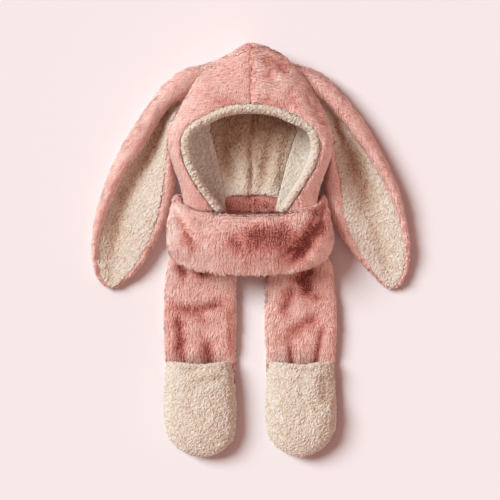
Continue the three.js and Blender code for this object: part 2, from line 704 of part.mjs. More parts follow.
// Half-round sections of a pocket, or of its hollow when a wall is taken off.
function pocketForm(tail, wall) {
  const section = (place) => {
    const rise = pocketRise * fromTable(pocketSections, 'rise', place) - wall;
    const thin = wall > 0 ? 1 - wall / tailHalfWidth : 1;
    const at = (a, z) => {
      const plan = tailPlan(tail, pocketSections, place, a * thin, pocketLength, pocketTop);
      const fade = Math.max(1 - place / mouthFade, 0);
      const dip = mouthDip * Math.cos((a * Math.PI) / 2) ** 2 * fade;
      return new THREE.Vector3(plan.x, plan.y - dip, pocketBase + z);
    };
    const foot = wall > 0 ? -wall : 0;
    const points = [at(1, foot), at(0, foot), at(-1, foot)];
    for (const f of spread(acrossSteps)) {
      const a = 2 * f - 1;
      points.push(at(a, Math.max(rise * Math.sqrt(1 - Math.abs(a) ** pocketSquareness), foot + leastRise)));
    }
    return points;
  };
  return section;
}

function pocket(tail) {
  const places = spread(pocketRows);
  const outer = loft(places.map(pocketForm(tail, 0)));
  const hollowRows = places.filter((place) => place < hollowReach).map(pocketForm(tail, pocketWall));
  const mouth = hollowRows[0].map((p) => p.clone().setY(p.y + pocketWall));
  const tailRoom = loft(spread(tailRows).map((place) => tailSection(tail, place, clearance)));
  return cutClear(outer, [loft([mouth, ...hollowRows]), tailRoom]);
}

function mesh(name, geometry, look) {
  geometry.computeVertexNormals();
  const piece = new THREE.Mesh(geometry, new THREE.MeshStandardMaterial(look));
  piece.name = name;
  return piece;
}

const group = new THREE.Group();
const hood = new THREE.Group();
for (const [name, side] of Object.entries(sides)) {
  hood.add(mesh(`hood_panel_${name}`, hoodPanel(side), pink));
  hood.add(mesh(`lining_${name}`, sideLining(side), cream));
}
hood.add(mesh('lining_back', backLining(), cream));
hood.add(mesh('face_trim', faceTrim(), cream));
for (const [name, rows] of [['left', earSectionsLeft], ['right', earSectionsRight]]) {
  const { sign } = sides[name];
  hood.add(mesh(`ear_${name}_outer`, ear(rows, sign, earOuterSection), pink));
  hood.add(mesh(`ear_${name}_inner`, ear(rows, sign, earInnerSection), cream));
}
group.add(hood);

const scarf = new THREE.Group();
scarf.add(mesh('neck_cowl', cutClear(neckCowl(), [hoodRoom(sides.left), hoodRoom(sides.right)]), pink));
for (const [name, tail] of Object.entries(tails)) {
  scarf.add(mesh(`tail_${name}`, tailBody(tail), pink));
  scarf.add(mesh(`tail_lining_${name}`, tailLining(tail), cream));
  scarf.add(mesh(`pocket_${name}`, pocket(tail), cream));
}
group.add(scarf);

// The origin is the middle of the table under the whole piece.
const box = new THREE.Box3().setFromObject(group);
const middle = box.getCenter(new THREE.Vector3());
group.position.set(-middle.x, -middle.y, -box.min.z);
group.updateMatrixWorld(true);

export default group;
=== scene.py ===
"""A child's plush hood scarf with lop ears, a neck cowl and two tails that end in hand pockets.

The plush and the curly lining are real geometry: each piece is a smooth backing whose faces carry
combed pile or nubs, all in one closed mesh. Lengths are metres in the frame's own axes.
"""

from __future__ import annotations

import logging
import math
from dataclasses import dataclass, field, replace
from enum import Enum
from typing import Sequence

import bpy
import numpy as np
from mathutils import Euler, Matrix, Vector
from mathutils.bvhtree import BVHTree


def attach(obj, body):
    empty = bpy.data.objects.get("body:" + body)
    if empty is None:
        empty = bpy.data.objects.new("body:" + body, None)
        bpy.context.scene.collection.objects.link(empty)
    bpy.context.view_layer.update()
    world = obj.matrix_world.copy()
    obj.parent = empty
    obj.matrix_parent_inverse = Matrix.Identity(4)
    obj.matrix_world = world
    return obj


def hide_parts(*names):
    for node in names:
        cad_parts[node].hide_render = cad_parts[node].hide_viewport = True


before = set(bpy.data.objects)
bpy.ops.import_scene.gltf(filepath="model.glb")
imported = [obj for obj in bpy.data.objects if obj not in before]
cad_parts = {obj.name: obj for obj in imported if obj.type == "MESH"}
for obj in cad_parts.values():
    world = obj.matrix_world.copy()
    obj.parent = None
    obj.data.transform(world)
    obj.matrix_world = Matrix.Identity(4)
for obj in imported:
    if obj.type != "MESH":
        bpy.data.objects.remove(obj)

logging.basicConfig(level=logging.INFO, format="%(message)s")
log = logging.getLogger("hood_scarf")

MM = 0.001
CLEARANCE = 0.3 * MM
Color = tuple[float, float, float]
Place = tuple[float, float]


class Look(Enum):
    """The two cloths that the piece is sewn from, by their slots in the record."""

    PLUSH = "pink_plush"
    SHERPA = "cream_sherpa"


class Noise:
    """Smooth seeded gradient noise of points in space.

    Attributes:
        TABLE: how many gradients it has.
        PRIMES: factors that pick the gradient of a cell.
        GAIN: brings its values to about -1 to 1.
        APART: how far apart the noises of a vector are, in waves.
    """

    TABLE = 4096
    PRIMES = (73856093, 19349663, 83492791)
    GAIN = 1.6
    APART = (0.0, 31.7, 67.3)

    def __init__(self, seed: int) -> None:
        """Draws the gradients.

        Args:
            seed: which noise this is.
        """
        rng = np.random.default_rng(seed)
        slopes = rng.normal(size=(self.TABLE, 3))
        self.slopes = slopes / np.linalg.norm(slopes, axis=1)[:, None]
        self.shift = rng.uniform(50, 90, 3)

    def at(self, points: np.ndarray, size: float) -> np.ndarray:
        """The noise at some points.

        Args:
            points: places, one a row.
            size: length of one wave.

        Returns:
            One value for each point, about -1 to 1.
        """
        p = points / size + self.shift
        cell = np.floor(p).astype(np.int64)
        f = p - cell
        ease = f * f * f * (f * (f * 6 - 15) + 10)
        total = np.zeros(len(points))
        for corner in np.ndindex(2, 2, 2):
            key = np.bitwise_xor.reduce((cell + corner) * self.PRIMES, axis=1)
            slope = self.slopes[key % self.TABLE]
            weight = np.where(np.array(corner) == 1, ease, 1 - ease).prod(axis=1)
            total += weight * (slope * (f - corner)).sum(axis=1)
        return total * self.GAIN

    def vector(self, points: np.ndarray, size: float) -> np.ndarray:
        """Three independent noises at some points, as rows."""
        return np.stack([self.at(points + apart * size, size) for apart in self.APART], axis=1)


def unit(rows: np.ndarray) -> np.ndarray:
    """Rows scaled to length 1."""
    return rows / np.maximum(np.linalg.norm(rows, axis=1), 1e-12)[:, None]


def smooth_step(x: np.ndarray, low: float, high: float) -> np.ndarray:
    """0 below low and 1 above high, with an even change between them."""
    f = np.clip((x - low) / (high - low), 0, 1)
    return f * f * (3 - 2 * f)


def along_cloth(ways: np.ndarray, normals: np.ndarray) -> np.ndarray:
    """What is left of some directions along the cloth."""
    return ways - normals * (ways * normals).sum(axis=1)[:, None]


def summed(rows: np.ndarray, group: np.ndarray, count: int) -> np.ndarray:
    """Rows added up by group, one row for each of count groups."""
    return np.stack([np.bincount(group, column, minlength=count) for column in rows.T], axis=1)


def with_middles(rows: np.ndarray, groups: np.ndarray) -> np.ndarray:
    """The points' rows, followed by the mean row of each group of points."""
    return np.concatenate([rows, rows[groups].mean(axis=1)])


def face_normals(points: np.ndarray, faces: np.ndarray) -> np.ndarray:
    """Each triangle's own normal, as long as twice its area."""
    a, b, c = (points[faces[:, i]] for i in range(3))
    return np.cross(b - a, c - a)


def stacked(*triangles: Sequence[np.ndarray]) -> list[np.ndarray]:
    """Arrays of triangles, each from the arrays of their three corners."""
    return [np.stack(corners, axis=1) for corners in triangles]


def fanned(faces: np.ndarray, tops: np.ndarray) -> list[np.ndarray]:
    """Three arrays of triangles, from each face's sides to a top of its own."""
    return stacked(*((faces[:, i], faces[:, (i + 1) % 3], tops) for i in range(3)))


def vertices_of(mesh: bpy.types.Mesh) -> np.ndarray:
    """A Blender mesh's points as rows."""
    flat = np.empty(len(mesh.vertices) * 3)
    mesh.vertices.foreach_get("co", flat)
    return flat.reshape(-1, 3)


def added(name: str, data: bpy.types.ID) -> bpy.types.Object:
    """A new object in the scene, with its data."""
    made = bpy.data.objects.new(name, data)
    bpy.context.scene.collection.objects.link(made)
    return made


@dataclass(frozen=True)
class Crease:
    """A soft groove in cloth along a line on the table's plan, which fades towards its ends and
    carries painted shade.

    Attributes:
        path: points of the line, across and up in millimetres.
        depth: how deep it is pressed, in millimetres.
        width: how wide it is, in millimetres.
        ridge: how high the cloth rises beside it, in millimetres.
        shade_paint: how much shade is painted into the pile's colour in it, up to 1, or None to
            follow the depth; below 0 it paints light instead.
        FADE: from how far outside its ends to how far inside it fades, as shares of its length.
        BESIDE: how far from the line the cloth rises, in widths.
        SHADE_PAINT: how much shade is painted for each millimetre of depth, where it follows that.
    """

    path: tuple[Place, ...]
    depth: float
    width: float
    ridge: float = 0.0
    shade_paint: float | None = None

    FADE = (-0.12, 0.3)
    BESIDE = 1.8
    SHADE_PAINT = 0.1

    def away(self, plan: np.ndarray) -> tuple[np.ndarray, np.ndarray]:
        """How far each point is from the line, and how full the crease is beside it."""
        ends = np.array(self.path if len(self.path) > 1 else self.path * 2, dtype=float)
        steps = np.linalg.norm(np.diff(ends, axis=0), axis=1)
        starts = np.concatenate([[0.0], np.cumsum(steps)])
        away, place = np.full(len(plan), np.inf), np.zeros(len(plan))
        for start, end, first, step in zip(ends, ends[1:], starts, steps):
            along = end - start
            share = np.clip(((plan - start) @ along) / max(step * step, 1e-9), 0, 1)
            apart = np.linalg.norm(plan - start - share[:, None] * along, axis=1)
            nearer = apart < away
            away = np.where(nearer, apart, away)
            place = np.where(nearer, first + share * step, place)
        if starts[-1] < 1e-6:
            return away, np.ones(len(plan))
        share = place / starts[-1]
        full = smooth_step(share, *self.FADE) * smooth_step(1 - share, *self.FADE)
        return away, full

    def press(self, plan: np.ndarray) -> tuple[np.ndarray, np.ndarray]:
        """How far the cloth goes down at each point of a plan, and how much shade is painted into
        its colour.
        """
        away, full = self.away(plan)
        groove = full * np.exp(-((away / self.width) ** 2))
        beside = full * np.exp(-(((away - self.BESIDE * self.width) / self.width) ** 2))
        shade_paint = max(self.SHADE_PAINT * self.depth, 0) if self.shade_paint is None else self.shade_paint
        return (self.depth * groove - self.ridge * beside) * MM, shade_paint * groove


class Skin:
    """A closed triangle mesh held as arrays.

    Attributes:
        SMOOTHING: how far a point moves towards its neighbours and out again, in one round.
    """

    SMOOTHING = (0.5, -0.52)

    def __init__(self, points: np.ndarray, faces: np.ndarray) -> None:
        """Keeps the corner points and the faces that join them."""
        self.points = points
        self.faces = faces

    @classmethod
    def from_node(cls, node: str, voxel: float, turn: Euler) -> Skin:
        """An even mesh over a copy of a node's solid.

        Args:
            node: name of the node.
            voxel: length of a face.
            turn: how the grid of faces is turned, so that its rows don't line up with the cloth.

        Returns:
            The new mesh, in the frame's axes.
        """
        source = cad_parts[node].data
        spin = np.array(turn.to_matrix())
        corners = (vertices_of(source) @ spin.T).tolist()
        solid = bpy.data.meshes.new("form")
        solid.from_pydata(corners, [], [list(p.vertices) for p in source.polygons])
        form = added("form", solid)
        remesh = form.modifiers.new("even", "REMESH")
        remesh.mode = "VOXEL"
        remesh.voxel_size = voxel
        depsgraph = bpy.context.evaluated_depsgraph_get()
        even = form.evaluated_get(depsgraph).to_mesh()
        even.calc_loop_triangles()
        faces = np.empty(len(even.loop_triangles) * 3, dtype=np.int32)
        even.loop_triangles.foreach_get("vertices", faces)
        points = vertices_of(even) @ spin
        bpy.data.objects.remove(form)
        bpy.data.meshes.remove(solid)
        return cls(points, faces.reshape(-1, 3))

    def sides(self) -> np.ndarray:
        """Each face's three sides, as sorted pairs of points."""
        return np.sort(self.faces[:, [0, 1, 1, 2, 2, 0]].reshape(-1, 2), axis=1)

    def edges(self) -> np.ndarray:
        """Each edge once, as pairs of points."""
        return np.unique(self.sides(), axis=0)

    def normals(self) -> np.ndarray:
        """The outward direction at each point."""
        flat = face_normals(self.points, self.faces)
        return unit(sum(summed(flat, corner, len(self.points)) for corner in self.faces.T))

    @staticmethod
    def around(rows: np.ndarray, edges: np.ndarray) -> np.ndarray:
        """The mean row of each point's neighbours.

        Args:
            rows: one for each point.
            edges: the pairs of points that are neighbours.

        Returns:
            One row for each point.
        """
        here, there = edges.T
        total = summed(rows[there], here, len(rows)) + summed(rows[here], there, len(rows))
        return total / np.bincount(edges.ravel(), minlength=len(rows))[:, None]

    def relax(self, rounds: int) -> None:
        """Smooths the facets away without shrinking the form.

        Args:
            rounds: how many times each point moves in and out.
        """
        edges = self.edges()
        for share in self.SMOOTHING * rounds:
            self.points = self.points + share * (self.around(self.points, edges) - self.points)

    def smoothed(self, values: np.ndarray) -> np.ndarray:
        """The points' values, halfway to the mean of their neighbours' values."""
        return 0.5 * values + 0.5 * self.around(values[:, None], self.edges())[:, 0]

    def refined(self, chosen: np.ndarray, values: np.ndarray) -> tuple[Skin, np.ndarray]:
        """The mesh with some faces cut in four, and their neighbours cut to fit.

        Args:
            chosen: for each face, whether it is cut.
            values: rows of numbers, one row a point.

        Returns:
            The finer mesh, whose first points are this mesh's points, and its points' values.
        """
        edges, which = np.unique(self.sides(), axis=0, return_inverse=True)
        which = which.reshape(-1, 3)
        cut = np.zeros(len(edges), dtype=bool)
        cut[which[chosen].ravel()] = True
        middle = np.full(len(edges), -1)
        middle[cut] = len(self.points) + np.arange(cut.sum())
        points, values = (with_middles(rows, edges[cut]) for rows in (self.points, values))
        mids = middle[which]
        cuts = (mids >= 0).sum(axis=1)
        a, b, c = self.faces[cuts == 3].T
        ab, bc, ca = mids[cuts == 3].T
        parts = [self.faces[cuts == 0]]
        parts += stacked((a, ab, ca), (ab, b, bc), (ca, bc, c), (ab, bc, ca))
        for turn in range(3):
            face, mid = (np.roll(rows, -turn, axis=1) for rows in (self.faces, mids))
            one = (cuts == 1) & (mid[:, 0] >= 0)
            (a, b, c), m = face[one].T, mid[one, 0]
            parts += stacked((a, m, c), (m, b, c))
            two = (cuts == 2) & (mid[:, 2] < 0)
            (a, b, c), (ab, bc) = face[two].T, mid[two, :2].T
            parts += stacked((a, ab, c), (ab, b, bc), (ab, bc, c))
        return Skin(points, np.concatenate(parts).astype(np.int32)), values


class Neighbours:
    """The solids and the table round one piece, which its pile makes room for.

    Attributes:
        STEEP: cloth that looks up less than this keeps its pile off the table.
        HEM: how much of the height under such cloth its pile may fill.
        NEEDED: free height at which pile starts, and at which it is full, in its own heights.
    """

    STEEP = 0.4
    HEM = 0.6
    NEEDED = (0.05, 0.65)

    def __init__(self, own: str) -> None:
        """Gathers every node but the piece's own.

        Args:
            own: name of the node that the piece stands for.
        """
        points: list[Vector] = []
        polygons: list[list[int]] = []
        for name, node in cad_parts.items():
            if name != own:
                first = len(points)
                points += [v.co.copy() for v in node.data.vertices]
                polygons += [[first + i for i in p.vertices] for p in node.data.polygons]
        self.tree = BVHTree.FromPolygons(points, polygons)

    def room(self, skin: Skin, height: float) -> np.ndarray:
        """How free each point is to carry pile.

        Args:
            skin: the piece's surface.
            height: free height over the cloth that full pile needs.

        Returns:
            For each point 0 where a neighbour or the table touches it, to 1 where it is free.
        """
        reach = 2 * height
        free = np.full(len(skin.points), reach)
        normals = skin.normals()
        for i, (point, normal) in enumerate(zip(skin.points.tolist(), normals.tolist())):
            way = Vector(normal)
            hit = self.tree.ray_cast(Vector(point) + way * CLEARANCE, way, reach)[3]
            if hit is not None:
                free[i] = hit
        above = np.maximum(skin.points[:, 2] - CLEARANCE, 0)
        free = np.minimum(free, above / np.maximum(-normals[:, 2], 1e-3))
        free = np.where(normals[:, 2] < self.STEEP, np.minimum(free, self.HEM * above), free)
        start, full = self.NEEDED
        return smooth_step(free, start * height, full * height)


@dataclass(frozen=True)
class Comb:
    """Which way pile lies.

    Attributes:
        along: the direction that it is stroked in.
        fan: how much it turns outwards at FAN_AT metres to each side of the middle.
        swirl: how far it wanders from that direction, in turns.
        swirl_size: size of the whorls, in metres.
        DROOP: how much it hangs down on a slope.
        FINE: strength and size of the finer whorls, as shares of the others'.
    """

    along: tuple[float, float, float] = (0.0, -1.0, 0.0)
    fan: float = 0.0
    swirl: float = 0.12
    swirl_size: float = 0.03

    FAN_AT = 0.1
    DROOP = 0.15
    FINE = (0.45, 0.35)

    def way(self, points: np.ndarray, normals: np.ndarray, noise: Noise) -> np.ndarray:
        """Directions along the cloth, one a point."""
        way = np.tile(np.array(self.along, dtype=float), (len(points), 1))
        way[:, 0] += self.fan * points[:, 0] / self.FAN_AT
        way[:, 2] -= self.DROOP
        flat = unit(along_cloth(way, normals))
        side = np.cross(normals, flat)
        strength, share = self.FINE
        wander = noise.at(points, self.swirl_size)
        wander += strength * noise.at(points, self.swirl_size * share)
        turn = (self.swirl * 2 * math.pi * wander)[:, None]
        return flat * np.cos(turn) + side * np.sin(turn)

    def streaks(self, points: np.ndarray, noise: Noise, width: float, length: float) -> np.ndarray:
        """Long soft stripes in the pile, about -1 to 1.

        Args:
            points: places on the cloth.
            noise: where the stripes come from.
            width: how wide they are.
            length: how many times longer than wide they are.

        Returns:
            One value a point.
        """
        along = np.array(self.along, dtype=float)
        along /= np.linalg.norm(along)
        bend = noise.vector(points, self.swirl_size) * self.swirl * 40 * MM
        strands = points + bend
        strands -= (1 - 1 / length) * (strands @ along)[:, None] * along
        return noise.at(strands, width)


@dataclass
class Dressed:
    """A finished surface with its pile.

    Attributes:
        points: the mesh's points.
        faces: its triangles.
        roots: for each point, where it is rooted on the backing.
        base: for each triangle, the backing's face that it grows from.
        normals: for each point, the direction that it is shaded in.
        tip: how bright its colour is, from 0 to 1, which paints shade low in the pile and between
            the curls, evened out where the cloth has little room.
        shade: how bright its strand is, from 0 to 1.
        painted_shade: how much shade is painted into its colour, up to 1, in folds and covered
            stretches; below 0 where light is painted.
    """

    points: np.ndarray
    faces: np.ndarray
    roots: np.ndarray
    base: np.ndarray
    normals: np.ndarray
    tip: np.ndarray
    shade: np.ndarray
    painted_shade: np.ndarray


@dataclass
class Ground:
    """What the pile of a piece grows on.

    Attributes:
        skin: the backing.
        room: how free each of its points is, from 0 to 1.
        painted_shade: how much shade is painted into each of its points' colour, up to 1, in folds
            and covered stretches; below 0 where light is painted.
    """

    skin: Skin
    room: np.ndarray
    painted_shade: np.ndarray


@dataclass(frozen=True)
class PlushPile:
    """Combed pile: every face of the backing is drawn out into tapering tufts.

    Attributes:
        length: length of a tuft.
        lean: how far it lies over, in radians from upright.
        gather: how strongly neighbours draw together, from 0 to 1.
        clump: size of a group that draws together.
        strand: width of the strands that the tufts make.
        tousle: how uneven the strands are, from 0 to 1.
        depth: how much deeper than the rest its colour is, from 0 to 1.
        bare: faces with less room than this stay bare.
        underside: faces that look further down than this carry a thinner pile.
        STREAK: how many times longer than wide a strand is.
        STRAY: how far a tuft strays from the comb's way.
        TILT: how far its lean varies, in radians.
        UNEVEN: how far its length varies, and LENGTHS the least and the most of it.
        CORNER: what is left of its length where it has no room.
        FLOOR: the least height of its end over its face, as a share of its length.
    """

    length: float = 5.4 * MM
    lean: float = 1.12
    gather: float = 0.4
    clump: float = 5.0 * MM
    strand: float = 2.8 * MM
    tousle: float = 0.3
    depth: float = 0.0
    bare: float = 0.15
    underside: float = -0.15

    STREAK = 4.5
    STRAY = 0.13
    TILT = 0.07
    UNEVEN = 0.14
    LENGTHS = (0.45, 1.7)
    CORNER = 0.15
    FLOOR = 0.26

    def height(self) -> float:
        """How high the pile stands over its backing."""
        return self.length * math.cos(self.lean)

    def grow(self, ground: Ground, comb: Comb, seed: int) -> Dressed:
        """Draws the pile out of a backing.

        Args:
            ground: the backing.
            comb: which way the pile lies.
            seed: which draw this is.

        Returns:
            The piece with its pile.
        """
        rng = np.random.default_rng(seed)
        noise = Noise(seed + 1)
        skin, faces = ground.skin, ground.skin.faces
        normals = skin.normals()
        furred = ground.room[faces].mean(axis=1) > self.bare
        thick = furred & (normals[faces].mean(axis=1)[:, 2] > self.underside)
        whole, split = np.flatnonzero(furred & ~thick), np.flatnonzero(thick)
        roots, room, painted_shade = (
            with_middles(rows, faces[split]) for rows in (skin.points, ground.room, ground.painted_shade)
        )
        normals = np.concatenate([normals, unit(normals[faces[split]].mean(axis=1))])
        middle = len(skin.points) + np.arange(len(split))
        tufts = np.concatenate([faces[whole], *fanned(faces[split], middle)])
        owner = np.concatenate([whole, split, split, split])
        foot = roots[tufts].mean(axis=1)
        up = unit(normals[tufts].mean(axis=1))
        free = room[tufts].mean(axis=1)
        count = len(tufts)
        strand = comb.streaks(foot, noise, self.strand, self.STREAK)
        way = unit(comb.way(foot, up, noise) + rng.normal(0, self.STRAY, (count, 3)))
        lean = self.lean + rng.normal(0, self.TILT, count)
        stretch = 1 + self.UNEVEN * rng.normal(size=count)
        stretch += 0.5 * self.tousle * noise.at(foot, 11 * MM)
        stretch += 0.5 * self.tousle * strand
        share = self.CORNER + (1 - self.CORNER) * free
        reach = (self.length * np.clip(stretch, *self.LENGTHS) * share)[:, None]
        rise = (np.cos(lean) * free)[:, None]
        tips = foot + reach * (up * rise + way * np.sin(lean)[:, None])
        tips = self.gathered(foot, tips, noise, rng)
        face_up = unit(face_normals(roots, tufts))
        height = ((tips - foot) * face_up).sum(axis=1)
        tips += face_up * np.maximum(self.FLOOR * reach[:, 0] - height, 0)[:, None]
        sinks = np.maximum(foot[:, 2] - tips[:, 2], 1e-6)
        tips = foot + (tips - foot) * np.clip((foot[:, 2] - CLEARANCE) / sinks, 0, 1)[:, None]
        sides = fanned(tufts, len(roots) + np.arange(count))
        rest = np.flatnonzero(~furred)
        soft = unit(up + 0.2 * way + rng.normal(0, 0.11, (count, 3)))
        tone = 0.5 + self.tousle * (strand + noise.at(foot, 9 * MM)) + rng.normal(0, 0.08, count)
        root_strand = comb.streaks(roots, noise, self.strand, self.STREAK)
        root_tone = 0.5 + self.tousle * root_strand
        # Painted shade low in the pile: free roots are darkest, and ends with little room are a
        # little darker.
        bright = np.concatenate([0.72 - 0.38 * room, 0.68 + 0.32 * free]) - self.depth
        return Dressed(
            points=np.concatenate([roots, tips]),
            faces=np.concatenate([faces[rest], *sides]),
            roots=np.concatenate([roots, foot]),
            base=np.concatenate([rest, owner, owner, owner]),
            normals=np.concatenate([normals, soft]),
            tip=bright,
            shade=np.clip(np.concatenate([root_tone, tone]), 0, 1),
            painted_shade=with_middles(painted_shade, tufts),
        )

    def gathered(
        self, foot: np.ndarray, tips: np.ndarray, noise: Noise, rng: np.random.Generator
    ) -> np.ndarray:
        """Tips drawn towards the middle of their clump."""
        warped = foot + noise.vector(foot, 2.2 * self.clump) * self.clump * 0.8
        cells = np.floor(warped / self.clump).astype(np.int64)
        key = (cells[:, 0] * 92821 + cells[:, 1]) * 92821 + cells[:, 2]
        group = np.unique(key, return_inverse=True)[1].ravel()
        count = np.bincount(group)[:, None]
        middle = summed(tips, group, len(count)) / count
        pull = (self.gather * rng.uniform(0.5, 1.2, len(tips)))[:, None]
        return tips + pull * (middle[group] - tips)


@dataclass(frozen=True)
class SherpaPile:
    """Curly nubs: a fine surface raised into winding curls.

    Attributes:
        curl: width of a curl.
        rise: height of a curl.
        wander: how far the curls bend, as a share of their width.
        stretch: how much longer than wide they are.
        bare: faces with less room than this stay bare.
        underside: faces that look further down than this stay plain.
        RIDGE: how strong the coarse noise is at the foot of a winding ridge.
        BLOB: how strong the fine noise is at the top of a blob.
        GROUND: the height of a curl that stays where the backing is.
        TWIST: how far the curls lean aside at random, and BRUSHED how far as they are brushed.
    """

    curl: float = 3.4 * MM
    rise: float = 2.0 * MM
    wander: float = 0.8
    stretch: float = 1.3
    bare: float = 0.1
    underside: float = -0.45

    RIDGE = 0.42
    BLOB = 0.35
    GROUND = 0.45
    TWIST = 0.35
    BRUSHED = 0.25

    def height(self) -> float:
        """How high the curls stand over their backing."""
        return self.rise

    def curls(self, points: np.ndarray, noise: Noise, other: Noise) -> np.ndarray:
        """Heights from 0 in a gap to 1 on a curl."""
        warp = noise.vector(points, 2.5 * self.curl) * self.wander * self.curl
        strands = points + warp
        strands[:, 1] /= self.stretch
        coarse = np.abs(noise.at(strands, self.curl))
        fine = np.abs(other.at(strands + 0.3 * warp, 0.75 * self.curl))
        ridge = 1 - np.minimum(coarse / self.RIDGE, 1)
        blob = np.minimum(fine / self.BLOB, 1) ** 0.7
        return np.clip(0.55 * ridge + 0.55 * blob, 0, 1)

    def grow(self, ground: Ground, comb: Comb, seed: int) -> Dressed:
        """Raises the curls on a backing.

        Args:
            ground: the backing.
            comb: which way the curls are brushed.
            seed: which draw this is.

        Returns:
            The piece with its curls.
        """
        noise, other = Noise(seed + 1), Noise(seed + 2)
        skin = ground.skin
        looks = skin.normals()[skin.faces].mean(axis=1)[:, 2]
        seen = (ground.room[skin.faces].mean(axis=1) > self.bare) & (looks > self.underside)
        fine, values = skin.refined(seen, np.stack([ground.room, ground.painted_shade], axis=1))
        room, painted_shade = values.T
        normals = fine.normals()
        heights = self.curls(fine.points, noise, other)
        lift = (heights - self.GROUND) * self.rise * room
        way = comb.way(fine.points, normals, noise)
        aside = along_cloth(noise.vector(fine.points, 0.8 * self.curl), normals)
        sway = (heights * room * self.rise)[:, None] * (self.TWIST * aside + self.BRUSHED * way)
        moved = fine.points + normals * lift[:, None] + sway
        moved[:, 2] = np.maximum(moved[:, 2], CLEARANCE)
        done = Skin(moved, fine.faces)
        return Dressed(
            points=moved,
            faces=fine.faces,
            roots=fine.points,
            base=np.arange(len(fine.faces)),
            normals=done.normals(),
            # Painted shade between the curls: the colour follows each curl's height.
            tip=heights * room + 0.4 * (1 - room),
            shade=0.5 + 0.5 * other.at(fine.points, 7 * MM),
            painted_shade=painted_shade,
        )


class ChartLayout:
    """A flat map of a piece, where the faces that look one way share a patch.

    Attributes:
        NAME: the name that the export looks for.
        MARGIN: free space round a patch.
        SLACK: how much wider the map is than its patches would fill.
    """

    NAME = "OFBake"
    MARGIN = 2 * MM
    SLACK = 1.15

    @classmethod
    def corners(cls, roots: np.ndarray, faces: np.ndarray, kin: np.ndarray) -> np.ndarray:
        """Where each face corner goes on the map.

        Args:
            roots: for each point, where it is rooted on the backing.
            faces: the faces.
            kin: for each face, a number shared by the faces that may lie on one patch.

        Returns:
            Two coordinates for each corner of each face, in 0 to 1.
        """
        flat = face_normals(roots, faces)
        axis = np.abs(flat).argmax(axis=1)
        ahead = flat[np.arange(len(flat)), axis] > 0
        key = (kin * 3 + axis) * 2 + ahead
        keys, patch = np.unique(key, return_inverse=True)
        patch = patch.ravel()
        flat_axes = np.array([[1, 2], [0, 2], [0, 1]])[axis]
        places = roots[faces]
        uv = np.take_along_axis(places, np.repeat(flat_axes[:, None], 3, axis=1), axis=2)
        low = np.array([uv[patch == i].min(axis=(0, 1)) for i in range(len(keys))])
        size = np.array([uv[patch == i].max(axis=(0, 1)) for i in range(len(keys))]) - low
        size += cls.MARGIN
        width = max(math.sqrt(size.prod(axis=1).sum()) * cls.SLACK, size[:, 0].max())
        shift = np.zeros_like(low)
        at, row, tall = 0.0, 0.0, 0.0
        for i in np.argsort(-size[:, 1]):
            if at + size[i, 0] > width:
                at, row, tall = 0.0, row + tall, 0.0
            shift[i] = at, row
            at, tall = at + size[i, 0], max(tall, size[i, 1])
        scale = 1 / max(width, row + tall)
        return (uv - low[patch][:, None] + shift[patch][:, None] + cls.MARGIN / 2) * scale


class Socket:
    """A shader value whose operators add the Math nodes."""

    def __init__(self, shader: Shader, output: bpy.types.NodeSocket) -> None:
        """Wraps an output socket of one shader."""
        self.shader = shader
        self.output = output

    def math(self, operation: str, first: Socket | float, second: Socket | float) -> Socket:
        """One Math node over two values."""
        return self.shader.read("ShaderNodeMath", 0, {0: first, 1: second}, operation=operation)

    def __add__(self, other: Socket | float) -> Socket:
        """This value plus another."""
        return self.math("ADD", self, other)

    def __radd__(self, other: float) -> Socket:
        """A number plus this value."""
        return self.math("ADD", other, self)

    def __sub__(self, other: Socket | float) -> Socket:
        """This value less another."""
        return self.math("SUBTRACT", self, other)

    def __rsub__(self, other: float) -> Socket:
        """A number less this value."""
        return self.math("SUBTRACT", other, self)

    def __mul__(self, other: Socket | float) -> Socket:
        """This value times another."""
        return self.math("MULTIPLY", self, other)

    def __rmul__(self, other: float) -> Socket:
        """A number times this value."""
        return self.math("MULTIPLY", other, self)

    def __pow__(self, other: float) -> Socket:
        """This value to a power."""
        return self.math("POWER", self, other)

    def clipped(self) -> Socket:
        """This value kept between 0 and 1."""
        return self.shader.read("ShaderNodeClamp", 0, {"Value": self})


